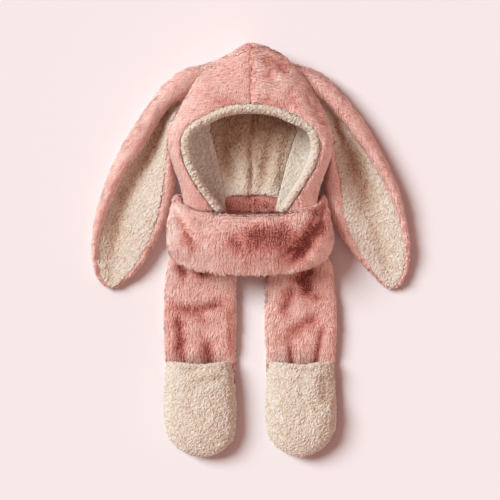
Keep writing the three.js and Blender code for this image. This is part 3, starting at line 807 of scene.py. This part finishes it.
class Shader:
    """A material under construction."""

    def __init__(self, name: str) -> None:
        """Starts an empty material of that name."""
        self.material = bpy.data.materials.new(name)
        self.material.use_nodes = True
        self.tree = self.material.node_tree
        self.tree.nodes.clear()

    def node(self, kind: str, values: dict | None = None, **settings: str) -> bpy.types.Node:
        """Adds a node.

        Args:
            kind: the node's type.
            values: numbers, colours or links for its sockets, by name or place.
            settings: its own settings, which are set first.

        Returns:
            The node.
        """
        node = self.tree.nodes.new(kind)
        for key, value in settings.items():
            setattr(node, key, value)
        for key, value in (values or {}).items():
            if isinstance(value, Socket):
                self.tree.links.new(value.output, node.inputs[key])
            else:
                node.inputs[key].default_value = value
        return node

    def read(
        self, kind: str, output: str | int, values: dict | None = None, **settings: str
    ) -> Socket:
        """Adds a node and gives one of its outputs."""
        return Socket(self, self.node(kind, values, **settings).outputs[output])

    def ramp(self, value: Socket, stops: Sequence[tuple[float, Color]]) -> Socket:
        """The colour that a ramp gives a value.

        Args:
            value: from 0 to 1.
            stops: the ramp's places and colours, two or more.

        Returns:
            The colour.
        """
        node = self.node("ShaderNodeValToRGB", {"Fac": value})
        while len(node.color_ramp.elements) < len(stops):
            node.color_ramp.elements.new(0.5)
        for element, (place, color) in zip(list(node.color_ramp.elements), stops):
            element.position = place
            element.color = rgba(color)
        return Socket(self, node.outputs["Color"])

    def attribute(self, name: str) -> Socket:
        """A number kept at the mesh's points."""
        return self.read("ShaderNodeAttribute", "Fac", attribute_name=name)

    def place(self) -> Socket:
        """Where a point is, in the frame's axes."""
        return self.read("ShaderNodeTexCoord", "Object")

    def noise(self, size: float, detail: float = 2.0) -> Socket:
        """Soft noise with waves of that length."""
        values = {"Vector": self.place(), "Scale": 1 / size, "Detail": detail}
        return self.read("ShaderNodeTexNoise", "Fac", values)

    def vector(self, operation: str, values: dict) -> Socket:
        """One Vector Math node over some values."""
        return self.read("ShaderNodeVectorMath", 0, values, operation=operation)

    def wandering(self, size: float, reach: float) -> Socket:
        """A point's place, carried aside by soft noise.

        Args:
            size: length of the noise's waves.
            reach: how far a point is carried.

        Returns:
            The place, as a vector.
        """
        place = self.place()
        values = {"Vector": place, "Scale": 1 / size, "Detail": 1.0}
        drift = self.read("ShaderNodeTexNoise", "Color", values)
        aside = self.vector("SUBTRACT", {0: drift, 1: (0.5, 0.5, 0.5)})
        step = self.vector("SCALE", {0: aside, "Scale": 2 * reach})
        return self.vector("ADD", {0: place, 1: step})

    def nubs(self, size: float, stretch: float) -> Socket:
        """Small loops packed side by side.

        Args:
            size: width of a loop.
            stretch: how much longer than wide it is.

        Returns:
            1 in the middle of a loop and 0 between them.
        """
        squeeze = {0: self.wandering(3 * size, 1.2 * size), 1: (1.0, 1 / stretch, 1.0)}
        values = {
            "Vector": self.vector("MULTIPLY", squeeze),
            "Scale": 1 / size,
            "Smoothness": 0.35,
            "Randomness": 1.0,
        }
        away = self.read("ShaderNodeTexVoronoi", "Distance", values, feature="SMOOTH_F1")
        return (1.0 - away * 1.35).clipped()

    def mixed(self, share: Socket, first: Socket | tuple, second: Socket | tuple) -> Socket:
        """A colour between two others."""
        values = {"Factor": share, 6: first, 7: second}
        return self.read("ShaderNodeMix", 2, values, data_type="RGBA")

    def finish(self, color: Socket, bump: Socket | None, values: dict) -> bpy.types.Material:
        """Closes the material with one shader.

        Args:
            color: the surface's colour.
            bump: fine height in metres, or None.
            values: the shader's fixed values.

        Returns:
            The material.
        """
        links = {"Base Color": color, **values}
        if bump is not None:
            height = {"Height": bump, "Distance": 1.0, "Strength": 1.0}
            links["Normal"] = self.read("ShaderNodeBump", "Normal", height)
        body = self.read("ShaderNodeBsdfPrincipled", "BSDF", links)
        self.node("ShaderNodeOutputMaterial", {"Surface": body})
        return self.material


def rgba(color: Color) -> tuple[float, float, float, float]:
    """A colour with full cover."""
    return (*color, 1.0)


@dataclass(frozen=True)
class PlushFinish:
    """Plush with painted shade: deep where the pile parts and in folds, pale at the tips and where
    light is painted, with brushed patches.

    Attributes:
        deepest_shade: painted shade colour between the fibres of a fold.
        root: colour low in the pile, darkened as painted shade.
        tip: colour of the pile's ends.
        pale: colour of the palest tips, where the pile is brushed smooth and where light is
            painted on.
        patch_size: size of the brushed patches.
        roughness: how dull the fibres are.
        sheen: how much the fibres' ends catch the light.
    """

    deepest_shade: Color = (0.23, 0.052, 0.043)
    root: Color = (0.70, 0.27, 0.226)
    tip: Color = (0.94, 0.59, 0.528)
    pale: Color = (0.96, 0.80, 0.75)
    patch_size: float = 0.03
    roughness: float = 0.9
    sheen: float = 0.02

    def material(self) -> bpy.types.Material:
        """The cloth's material."""
        shader = Shader(Look.PLUSH.value)
        tip = shader.attribute("pile_tip")
        shade = shader.attribute("pile_shade")
        patch = shader.noise(self.patch_size, 3.0)
        painted_shade = shader.attribute("pile_painted_shade")
        loose = (shade - 0.5) * 0.46 + (patch - 0.5) * 0.3 + 0.12
        # Painted shade: the colour deepens low in the pile and with the painted shade of folds,
        # and pales where light is painted.
        rise = (tip * 0.75 + loose - painted_shade * 0.75).clipped()
        stops = [(0.0, self.deepest_shade), (0.32, self.root), (0.68, self.tip), (0.97, self.pale)]
        color = shader.ramp(rise, stops)
        bump = shader.noise(0.9 * MM, 2.0) * (0.25 * MM)
        values = {
            "Roughness": self.roughness,
            "Sheen Weight": self.sheen,
            "Sheen Roughness": 0.5,
            "Sheen Tint": (1.0, 0.85, 0.82, 1.0),
            "Specular IOR Level": 0.1,
        }
        return shader.finish(color, bump, values)


@dataclass(frozen=True)
class SherpaFinish:
    """Cream curly pile: painted tan shade in the gaps and folds, creamy white on the curls.

    Attributes:
        deepest_shade: painted shade colour at the bottom of a gap.
        gap_shade: painted shade colour low between the curls.
        body: colour of the curls' sides.
        curl: colour of the curls' tops.
        pale: colour of the highest curl tops, and where light is painted on.
        shaded_copy_gap: painted shade colour between the curls in a fold.
        shaded_copy_body: painted shade colour of the curls' sides there.
        shaded_copy_curl: painted shade colour of the curls' tops there.
        nub: size of the small loops on the curls.
        roughness: how dull the fibres are.
        sheen: how much the fibres' ends catch the light.
    """

    deepest_shade: Color = (0.39, 0.22, 0.136)
    gap_shade: Color = (0.56, 0.40, 0.29)
    body: Color = (0.61, 0.505, 0.41)
    curl: Color = (0.665, 0.615, 0.56)
    pale: Color = (0.95, 0.88, 0.79)
    shaded_copy_gap: Color = (0.20, 0.085, 0.045)
    shaded_copy_body: Color = (0.35, 0.205, 0.13)
    shaded_copy_curl: Color = (0.45, 0.30, 0.21)
    nub: float = 2.8 * MM
    roughness: float = 0.9
    sheen: float = 0.25

    def material(self) -> bpy.types.Material:
        """The cloth's material."""
        shader = Shader(Look.SHERPA.value)
        tip = shader.attribute("pile_tip")
        shade = shader.attribute("pile_shade")
        patch = shader.noise(0.02, 2.0)
        nubs = shader.nubs(self.nub, 1.7)
        loose = (shade - 0.5) * 0.2 + (patch - 0.5) * 0.3
        painted_shade = shader.attribute("pile_painted_shade")
        raised = tip * 0.5 + nubs * 0.6 + loose + 0.12
        # Painted shade low between the curls and in folds; a negative painted shade paints light.
        place = (raised * 0.8 - painted_shade * 0.25).clipped()
        stops = [
            (0.0, self.deepest_shade),
            (0.2, self.gap_shade),
            (0.4, self.body),
            (0.68, self.curl),
            (1.0, self.pale),
        ]
        # A shaded copy of the ramp, mixed in as painted shade in folds.
        shaded_copy_stops = [(0.1, self.shaded_copy_gap), (0.5, self.shaded_copy_body), (0.85, self.shaded_copy_curl)]
        open_pile = shader.ramp(place, stops)
        shaded_copy_pile = shader.ramp(raised.clipped(), shaded_copy_stops)
        color = shader.mixed(painted_shade.clipped(), open_pile, shaded_copy_pile)
        bump = nubs * (0.7 * MM) + shader.noise(0.7 * MM, 2.0) * (0.2 * MM)
        values = {
            "Roughness": self.roughness,
            "Sheen Weight": self.sheen,
            "Sheen Roughness": 0.5,
            "Specular IOR Level": 0.2,
        }
        return shader.finish(color, bump, values)


@dataclass(frozen=True)
class TableFinish:
    """A plain pale table top."""

    color: Color = (0.889, 0.846, 0.867)

    def material(self) -> bpy.types.Material:
        """The table's material."""
        shader = Shader("table_top")
        grain = shader.noise(0.004, 3.0)
        shade = tuple(0.985 * c for c in self.color)
        color = shader.mixed(grain, rgba(self.color), rgba(shade))
        return shader.finish(color, None, {"Roughness": 0.8, "Specular IOR Level": 0.1})


class Wardrobe:
    """The cloths' materials, made once."""

    def __init__(self) -> None:
        """Makes them."""
        self.materials = {
            Look.PLUSH: PlushFinish().material(),
            Look.SHERPA: SherpaFinish().material(),
        }


@dataclass(frozen=True)
class Tuck:
    """A stretch of cloth that is drawn in under another piece.

    Attributes:
        start: where it starts, on the table's plan, in millimetres up.
        end: where it is drawn in most.
        depth: how far it is drawn in there, in millimetres.
        shade_paint: how much shade is painted into its colour where it is covered.
        EDGE: where its cover starts and is full, in millimetres past the start.
    """

    start: float
    end: float
    depth: float
    shade_paint: float = 0.6

    EDGE = (-4, 8)

    def draw(self, points: np.ndarray) -> np.ndarray:
        """How far each point is drawn in."""
        return self.depth * MM * smooth_step(-points[:, 1] / MM, -self.start, -self.end)

    def covered(self, points: np.ndarray) -> np.ndarray:
        """How far each point is in the stretch: 0 outside it to 1 a little way in."""
        return smooth_step(-points[:, 1] / MM, *(edge - self.start for edge in self.EDGE))


@dataclass
class Piece:
    """One sewn piece, which stands for one node of the frame.

    Attributes:
        node: the node's name.
        look: its cloth.
        pile: its pile.
        comb: which way its pile lies.
        voxel: length of a face of its backing.
        inset: how far the backing lies inside the node's surface, where the pile is free.
        swell: how far it presses into its neighbours all round.
        creases: its folds, and the shade and light painted along them.
        ripple: height of the cloth's own unevenness.
        ripple_size: length of that unevenness.
        rounds: how often its facets are smoothed.
        fill: how full it is, from 0 to 1.
        seed: which draw of the noise it has.
        tuck: where it is drawn in, if it is.
        closes: how far its edge is drawn over the middle, to close the seam there.
        scatter: how far its pile evens the light out, as a share of what comes from above.
        grid_turn: how the grid of its faces is turned.
        FACING: how far cloth looks up where folds and their painted shade start to show, and where
            they show in full.
        SEAM: how far from the middle its edge is drawn over in full, and where that ends.
    """

    node: str
    look: Look
    pile: PlushPile | SherpaPile
    comb: Comb
    voxel: float = 4.2 * MM
    inset: float = 1.5 * MM
    swell: float = 0.0
    creases: tuple[Crease, ...] = ()
    ripple: float = 0.8 * MM
    ripple_size: float = 26 * MM
    rounds: int = 6
    fill: float = 0.5
    seed: int = 1
    tuck: Tuck | None = None
    closes: float = 0.0
    scatter: float = 0.45
    grid_turn: Euler = field(default_factory=lambda: Euler((0.5, 0.62, 0.35)))

    FACING = (0.0, 0.5)
    SEAM = (1 * MM, 7 * MM)

    def ground(self) -> Ground:
        """The cloth under the pile, with its folds and the shade painted into them."""
        skin = Skin.from_node(self.node, self.voxel, self.grid_turn)
        skin.relax(self.rounds)
        room = skin.smoothed(Neighbours(self.node).room(skin, self.pile.height()))
        normals = skin.normals()
        facing = smooth_step(normals[:, 2], *self.FACING)
        drift = Noise(self.seed + 9).vector(skin.points, 18 * MM) * 3 * MM
        plan = (skin.points + drift)[:, :2] / MM
        down, painted_shade = np.zeros(len(facing)), np.zeros(len(facing))
        # Each crease presses the cloth down and paints shade into its colour; a negative paint
        # paints light.
        for crease in self.creases:
            drop, shade_paint = crease.press(plan)
            down += drop
            painted_shade = np.maximum(painted_shade, shade_paint * facing) + np.minimum(shade_paint * facing, 0)
        wave = self.ripple * Noise(self.seed + 7).at(skin.points, self.ripple_size)
        shift = (wave - down) * facing - self.inset * room + self.swell
        if self.tuck is not None:
            shift -= self.tuck.draw(skin.points)
            covered = self.tuck.covered(skin.points)
            room = room * (1 - covered)
            # Painted shade where the stretch is covered.
            painted_shade = np.maximum(painted_shade, self.tuck.shade_paint * covered * facing)
        skin.points = skin.points + normals * shift[:, None]
        skin.points[:, 2] = np.maximum(skin.points[:, 2], CLEARANCE)
        near = 1 - smooth_step(np.abs(skin.points[:, 0]), *self.SEAM)
        skin.points[:, 0] -= self.closes * near * np.sign(skin.points[:, 0].mean())
        return Ground(skin, room, painted_shade)

    def build(self, wardrobe: Wardrobe) -> bpy.types.Object:
        """Makes the piece and puts it in the frame.

        Args:
            wardrobe: the materials.

        Returns:
            The new object.
        """
        done = self.pile.grow(self.ground(), self.comb, self.seed)
        mesh = self.meshed(done)
        mesh.materials.append(wardrobe.materials[self.look])
        piece = added(f"{self.node}_cloth", mesh)
        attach(piece, "root")
        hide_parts(self.node)
        log.info("%s: %d triangles", piece.name, len(mesh.polygons))
        return piece

    def meshed(self, done: Dressed) -> bpy.types.Mesh:
        """The finished surface as a Blender mesh with its map and its pile's values."""
        mesh = bpy.data.meshes.new(f"{self.node}_cloth")
        mesh.vertices.add(len(done.points))
        mesh.vertices.foreach_set("co", done.points.ravel())
        mesh.loops.add(done.faces.size)
        mesh.loops.foreach_set("vertex_index", done.faces.ravel())
        mesh.polygons.add(len(done.faces))
        mesh.polygons.foreach_set("loop_start", np.arange(0, done.faces.size, 3))
        mesh.update(calc_edges=True)
        kept = {"pile_tip": done.tip, "pile_shade": done.shade, "pile_painted_shade": done.painted_shade}
        for name, values in kept.items():
            mesh.attributes.new(name, "FLOAT", "POINT").data.foreach_set("value", values)
        middle = done.roots[done.faces].mean(axis=1)[:, 2]
        upper = (middle > done.roots[:, 2].mean()).astype(int)
        corners = ChartLayout.corners(done.roots, done.faces, upper)
        mesh.uv_layers.new(name=ChartLayout.NAME).data.foreach_set("uv", corners.ravel())
        lit = unit(done.normals + (0.0, 0.0, self.scatter))
        mesh.normals_split_custom_set_from_vertices(lit.tolist())
        return mesh


class SubAssembly:
    """A group of pieces that are sewn together."""

    def pieces(self) -> list[Piece]:
        """The group's pieces."""
        raise NotImplementedError

    def build(self, wardrobe: Wardrobe) -> list[bpy.types.Object]:
        """Makes every piece of the group."""
        return [piece.build(wardrobe) for piece in self.pieces()]


@dataclass
class Hood(SubAssembly):
    """The plush shell of the hood, in two halves."""

    smooth_pile: PlushPile = PlushPile(length=4.8 * MM, tousle=0.1)
    pile: PlushPile = PlushPile()
    seam_reach: float = 1.1 * MM

    def pieces(self) -> list[Piece]:
        """Both halves."""
        left = Piece(
            "hood_panel_left",
            Look.PLUSH,
            self.smooth_pile,
            Comb((-0.5, -0.85, 0), swirl=0.05, swirl_size=0.05),
            inset=2.8 * MM,
            swell=1.4 * MM,
            creases=LEFT_HOOD_FOLDS,
            ripple=0.9 * MM,
            closes=self.seam_reach,
            seed=11,
        )
        right = replace(
            left,
            node="hood_panel_right",
            pile=self.pile,
            comb=Comb((0.5, -0.85, 0), swirl=0.16, swirl_size=0.026),
            creases=RIGHT_HOOD_FOLDS,
            ripple=1.6 * MM,
            ripple_size=20 * MM,
            seed=12,
        )
        return [left, right]


@dataclass
class Lining(SubAssembly):
    """The curly lining in three panels, and the rolled edge round the face."""

    pile: SherpaPile = SherpaPile()
    smooth_pile: SherpaPile = SherpaPile(rise=1.2 * MM)
    trim_pile: SherpaPile = SherpaPile(curl=3.4 * MM, rise=3.2 * MM, wander=0.4)

    def pieces(self) -> list[Piece]:
        """Side panels, back panel and rolled edge."""
        back = Piece(
            "lining_back",
            Look.SHERPA,
            self.pile,
            Comb((0, -1, 0), swirl=0.2, swirl_size=0.02),
            voxel=2.5 * MM,
            inset=0.3 * MM,
            swell=1.1 * MM,
            creases=LINING_FOLDS_AND_CROWN_SHADE,
            seed=23,
        )
        left = replace(
            back,
            node="lining_left",
            voxel=3.0 * MM,
            creases=(LEFT_LINING_PAINTED_LIGHT,),
            ripple=0.5 * MM,
            scatter=0.6,
            seed=21,
        )
        right = replace(
            left,
            node="lining_right",
            pile=self.smooth_pile,
            creases=(RIGHT_LINING_SHADE,),
            scatter=0.3,
            seed=22,
        )
        trim = replace(
            back,
            node="face_trim",
            pile=self.trim_pile,
            voxel=2.3 * MM,
            inset=-0.6 * MM,
            swell=1.3 * MM,
            creases=(),
            ripple=0.3 * MM,
            rounds=3,
            seed=24,
        )
        return [left, right, back, trim]


@dataclass
class Ear(SubAssembly):
    """One lop ear: a rolled plush back and a curly face."""

    side: str
    sign: int
    seed: int
    folds: tuple[Crease, ...]
    pile: PlushPile = PlushPile(length=5.2 * MM, tousle=0.25)
    face_pile: SherpaPile = SherpaPile(curl=3.4 * MM, rise=2.2 * MM)

    def pieces(self) -> list[Piece]:
        """Back and face."""
        back = Piece(
            f"ear_{self.side}_outer",
            Look.PLUSH,
            self.pile,
            Comb((0.75 * self.sign, -0.9, 0), swirl=0.09, swirl_size=0.03),
            inset=1.0 * MM,
            swell=0.4 * MM,
            ripple=0.9 * MM,
            seed=self.seed,
        )
        face = Piece(
            f"ear_{self.side}_inner",
            Look.SHERPA,
            self.face_pile,
            Comb((0.4 * self.sign, -0.9, 0), swirl=0.2, swirl_size=0.02),
            voxel=2.5 * MM,
            inset=0.2 * MM,
            creases=self.folds,
            ripple=0.6 * MM,
            seed=self.seed + 1,
        )
        return [back, face]


@dataclass
class Cowl(SubAssembly):
    """The wide plush loop round the neck."""

    pile: PlushPile = PlushPile(length=5.6 * MM, tousle=0.3)

    def pieces(self) -> list[Piece]:
        """The loop."""
        loop = Piece(
            "neck_cowl",
            Look.PLUSH,
            self.pile,
            Comb((0, -1, 0), fan=0.25, swirl=0.17, swirl_size=0.03),
            creases=COWL_FOLDS_SHADE_AND_LIGHT,
            ripple=1.6 * MM,
            ripple_size=22 * MM,
            voxel=4.1 * MM,
            inset=3.5 * MM,
            swell=1.4 * MM,
            seed=41,
        )
        return [loop]


@dataclass
class Tail(SubAssembly):
    """One scarf tail: plush on top, cream underneath, and its hand pocket."""

    side: str
    seed: int
    folds: tuple[Crease, ...]
    pocket_folds: tuple[Crease, ...]
    pile: PlushPile = PlushPile(tousle=0.3, depth=0.05)
    pocket_pile: SherpaPile = SherpaPile(curl=3.7 * MM, rise=2.5 * MM, wander=1.0)
    under_pile: SherpaPile = SherpaPile(curl=3.6 * MM, rise=1.4 * MM, underside=-0.1)
    mouth: Tuck = Tuck(-168, -285, 5.0)

    def pieces(self) -> list[Piece]:
        """Tail, underside and pocket."""
        comb = Comb((0, -1, 0), swirl=0.13, swirl_size=0.024)
        tail = Piece(
            f"tail_{self.side}",
            Look.PLUSH,
            self.pile,
            comb,
            creases=self.folds,
            ripple=1.4 * MM,
            ripple_size=20 * MM,
            inset=1.2 * MM,
            tuck=self.mouth,
            seed=self.seed,
        )
        under = Piece(
            f"tail_lining_{self.side}",
            Look.SHERPA,
            self.under_pile,
            comb,
            voxel=3.8 * MM,
            inset=0.2 * MM,
            ripple=0.0,
            tuck=self.mouth,
            seed=self.seed + 1,
        )
        pocket = Piece(
            f"pocket_{self.side}",
            Look.SHERPA,
            self.pocket_pile,
            Comb((0, -1, 0), swirl=0.25, swirl_size=0.016),
            voxel=2.5 * MM,
            inset=-0.8 * MM,
            creases=self.pocket_folds,
            ripple=1.2 * MM,
            seed=self.seed + 2,
        )
        return [tail, under, pocket]


# In these tables a crease's painted shade darkens the pile's colour along it, and a negative one
# paints light.
HOOD_SEAM_AND_COLLAR_SHADE = (
    Crease(((0, 340), (0, 180)), 0.8, 2.0, shade_paint=0.38),
    # Painted shade: a darker band over the collar.
    Crease(((-60, 68), (60, 68)), 0.0, 17, shade_paint=0.58),
)
LEFT_HOOD_FOLDS = (
    *HOOD_SEAM_AND_COLLAR_SHADE,
    Crease(((-30, 262),), 1.5, 14),
    Crease(((-70, 240), (-60, 215)), 1.5, 12),
    Crease(((-64, 222), (-6, 210)), 1.6, 8, 0.5, shade_paint=0.3),
)
RIGHT_HOOD_FOLDS = (
    *HOOD_SEAM_AND_COLLAR_SHADE,
    Crease(((9, 90), (10, 48)), 1.4, 2.4, shade_paint=0.6),
    Crease(((-4, 292), (22, 291), (68, 275)), 2.6, 4, 1.0, shade_paint=0.25),
    Crease(((14, 284), (40, 274), (62, 262)), 4.2, 9, 0.8, shade_paint=0.45),
    Crease(((22, 264), (38, 246)), 3.6, 9, 0.6, shade_paint=0.4),
    # Painted light along this raised ridge.
    Crease(((8, 236), (40, 252), (68, 260)), -2.4, 8, shade_paint=-0.3),
    Crease(((68, 250), (94, 212), (120, 168)), 2.4, 8, 0.8, shade_paint=0.2),
    Crease(((8, 224), (60, 206)), 1.8, 8, 0.8, shade_paint=0.35),
    Crease(((52, 238), (72, 206)), 2.0, 8, 0.6, shade_paint=0.25),
)
# Painted light: a broad lighter band on the left lining. Below it, painted shade along the top of
# the right lining.
LEFT_LINING_PAINTED_LIGHT = Crease(((-100, 190), (-60, 70)), 0.0, 60, shade_paint=-0.7)
RIGHT_LINING_SHADE = Crease(((-100, 200), (100, 200)), 0.0, 40, shade_paint=0.2)
LINING_FOLDS_AND_CROWN_SHADE = (
    # Painted shade: the lining darkens towards the crown.
    Crease(((-110, 200), (110, 200)), 0.0, 78, shade_paint=0.88),
    Crease(((-46, 225), (-40, 165), (-30, 95)), 4.0, 11, 1.0, shade_paint=0.9),
    Crease(((-12, 225), (-9, 60)), -3.4, 7),
    Crease(((2, 225), (1, 85)), 3.0, 4, 0.8, shade_paint=0.8),
    Crease(((36, 235), (26, 160), (11, 82)), 4.4, 10, 1.4, shade_paint=0.95),
    Crease(((38, 140), (28, 84)), -2.6, 8),
    Crease(((62, 200), (50, 140), (42, 82)), 1.0, 6, 0.6, shade_paint=0.6),
)
COWL_FOLDS_SHADE_AND_LIGHT = (
    Crease(((-116, 62), (-98, 30), (-78, -6)), 5.0, 8, 2.8, shade_paint=0.6),
    Crease(((114, 82), (100, 46), (80, 18), (60, 0), (34, -16)), 6.5, 12, 2.2, shade_paint=1.0),
    Crease(((112, 60), (104, 38), (86, 12), (66, -8), (46, -18)), 1.5, 11, shade_paint=1.0),
    Crease(((-6, 36), (24, 8)), 3.4, 13, 0.8, shade_paint=0.8),
    Crease(((44, 42), (28, 10)), 3.4, 12, 0.8, shade_paint=0.8),
    Crease(((-32, 26), (-10, -4)), 2.6, 12, shade_paint=0.6),
    # Painted shade: a broad darker band across the cowl's middle.
    Crease(((-24, 16), (70, 24)), 0.6, 26, shade_paint=0.8),
    # Painted light: a lighter band along the cowl's top and down its left end.
    Crease(((-104, 62), (-40, 51), (40, 51), (76, 60)), 0.0, 12, shade_paint=-0.35),
    Crease(((-114, 70), (-112, 10)), 0.0, 12, shade_paint=-0.3),
)
LEFT_EAR_FOLDS = (
    Crease(((-112, 240), (-122, 222), (-132, 200), (-144, 172)), 0.8, 5, shade_paint=1.0),
    Crease(((-130, 200), (-150, 152), (-172, 108)), 0.6, 11, shade_paint=0.8),
    Crease(
        ((-143, 175), (-169, 118), (-188, 84), (-203, 36), (-209, 0), (-210, -35)),
        2.2,
        10,
        shade_paint=0.72,
    ),
)
RIGHT_EAR_FOLDS = (
    Crease(((118, 226), (131, 194), (138, 165), (142, 140)), 0.8, 5, shade_paint=1.0),
    Crease(((142, 172), (155, 132), (166, 95), (178, 50)), 2.6, 15, shade_paint=0.85),
    Crease(((176, 70), (192, 10), (204, -30)), 1.0, 9, shade_paint=0.35),
)
LEFT_TAIL_FOLDS = (
    Crease(((-106, -14), (-99, -42)), 5.0, 8, 0.8, shade_paint=0.8),
    Crease(((-84, -22), (-60, -42)), 5.0, 9, 0.8, shade_paint=0.75),
    Crease(((-124, -80), (-97, -90), (-68, -89), (-30, -76)), 4.6, 8, 2.2, shade_paint=0.6),
    Crease(((-84, -96), (-62, -106)), 2.4, 12, shade_paint=0.4),
    Crease(((-108, -92), (-105, -164)), 4.6, 9, 1.0, shade_paint=0.75),
    Crease(((-104, -152), (-97, -182)), 3.0, 6, shade_paint=0.6),
    Crease(((-68, -128), (-59, -184)), 4.6, 9, 0.8, shade_paint=0.7),
    Crease(((-33, -70), (-29, -165)), 1.8, 5, 0.8, shade_paint=0.35),
)
RIGHT_TAIL_FOLDS = (
    Crease(((82, -10), (80, -40), (86, -74)), 6.0, 14, 1.2, shade_paint=0.9),
    Crease(((64, -50), (46, -102)), 4.4, 9, 1.0, shade_paint=0.6),
    Crease(((110, -92), (80, -112), (50, -138)), 4.4, 9, 1.4, shade_paint=0.5),
    Crease(((58, -132), (67, -184)), 4.4, 6, 0.8, shade_paint=0.6),
    Crease(((110, -110), (96, -184)), 4.4, 6, 0.8, shade_paint=0.6),
    Crease(((86, -60), (106, -78)), 3.0, 9, shade_paint=0.5),
)
LEFT_POCKET_FOLDS = (
    Crease(((-130, -178), (-76, -181), (-20, -176)), 1.6, 5, 1.4, shade_paint=0.05),
    Crease(((-90, -204), (-60, -197), (-34, -188)), 2.4, 6, 1.2, shade_paint=0.1),
)
RIGHT_POCKET_FOLDS = (
    Crease(((20, -176), (76, -181), (130, -177)), 1.6, 5, 1.4, shade_paint=0.05),
    Crease(((114, -176), (113, -232)), 3.8, 10, 0.5, shade_paint=0.1),
)


@dataclass
class Studio:
    """Table, soft light from the upper left, and a camera straight above.

    Attributes:
        distance: height of the camera.
        scale: real length across one picture element at the focus height.
        focus: height over the table that the scale holds at.
        middle: picture column and row that look straight down at the frame's origin.
        picture: picture elements across the picture.
        sensor: width of the camera's sensor, in its own millimetres.
        light_from: where the window is seen from the table.
        key_color: colour of its light.
        key: strength of its light.
        softness: how wide it looks, in radians.
        card_at: where the card that throws light back is seen from the table.
        card_color: colour of its light.
        card: strength of its light.
        card_width: how wide it looks, in radians.
        fill_color: colour of the light from all round.
        fill: strength of that light.
        table_half: half the table's width.
    """

    distance: float = 2.2
    scale: float = 1.5 * MM
    focus: float = 20 * MM
    middle: Place = (250.5, 249.5)
    picture: int = 500
    sensor: float = 36.0
    light_from: tuple[float, float, float] = (-2.0, 1.05, 1.75)
    key_color: Color = (0.9, 1.0, 1.0)
    key: float = 3.9
    softness: float = 0.5
    card_at: tuple[float, float, float] = (1.35, -0.8, 1.6)
    card_color: Color = (1.0, 0.82, 0.74)
    card: float = 0.9
    card_width: float = 1.2
    fill_color: Color = (1.0, 0.54, 0.46)
    fill: float = 0.38
    table_half: float = 15.0

    def camera(self) -> None:
        """Adds the camera."""
        data = bpy.data.cameras.new("overhead")
        across = self.picture * self.scale
        data.sensor_width = self.sensor
        data.lens = self.sensor * (self.distance - self.focus) / across
        camera = added("overhead", data)
        x = (self.picture / 2 - self.middle[0]) * self.scale
        y = (self.middle[1] - self.picture / 2) * self.scale
        camera.location = (x, y, self.distance)
        bpy.context.scene.camera = camera

    def lamp(
        self, name: str, seen: Sequence[float], color: Color, energy: float, width: float
    ) -> bpy.types.Object:
        """Adds a far light.

        Args:
            name: its name.
            seen: where it is seen from the table.
            color: its colour.
            energy: its strength.
            width: how wide it looks, in radians.

        Returns:
            The light.
        """
        data = bpy.data.lights.new(name, "SUN")
        data.energy, data.angle, data.color = energy, width, color
        lamp = added(name, data)
        lamp.rotation_euler = (-Vector(seen)).to_track_quat("-Z", "Y").to_euler()
        return lamp

    def throw_back(self, cloths: Sequence[bpy.types.Object]) -> None:
        """Adds the card, whose soft light reaches the cloth alone.

        Args:
            cloths: the pieces that it lights.
        """
        lit = bpy.data.collections.new("lit_by_card")
        for cloth in cloths:
            lit.objects.link(cloth)
        card = self.lamp("card", self.card_at, self.card_color, self.card, self.card_width)
        card.light_linking.receiver_collection = lit

    def table(self) -> None:
        """Adds the table top."""
        half = self.table_half
        mesh = bpy.data.meshes.new("table")
        corners = [(-half, -half, 0), (half, -half, 0), (half, half, 0), (-half, half, 0)]
        mesh.from_pydata(corners, [], [(0, 1, 2, 3)])
        mesh.materials.append(TableFinish().material())
        added("table", mesh)

    def room(self) -> None:
        """Adds the even light from all round."""
        world = bpy.data.worlds.new("room")
        world.use_nodes = True
        background = world.node_tree.nodes["Background"]
        background.inputs["Color"].default_value = rgba(self.fill_color)
        background.inputs["Strength"].default_value = self.fill
        bpy.context.scene.world = world

    def build(self) -> None:
        """Sets up all of it."""
        self.camera()
        self.table()
        self.lamp("window", self.light_from, self.key_color, self.key, self.softness)
        self.room()
        bpy.context.scene.view_settings.view_transform = "Standard"


def main() -> None:
    """Builds the studio and every group of pieces, and logs their triangles."""
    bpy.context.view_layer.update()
    studio = Studio()
    studio.build()
    wardrobe = Wardrobe()
    groups: list[SubAssembly] = [
        Hood(),
        Lining(),
        Ear("left", -1, 31, LEFT_EAR_FOLDS),
        Ear("right", 1, 35, RIGHT_EAR_FOLDS),
        Cowl(),
        Tail("left", 51, LEFT_TAIL_FOLDS, LEFT_POCKET_FOLDS),
        Tail("right", 61, RIGHT_TAIL_FOLDS, RIGHT_POCKET_FOLDS),
    ]
    pieces = [piece for group in groups for piece in group.build(wardrobe)]
    studio.throw_back(pieces)
    log.info("all pieces: %d triangles", sum(len(piece.data.polygons) for piece in pieces))


if __name__ == "__main__":
    main()
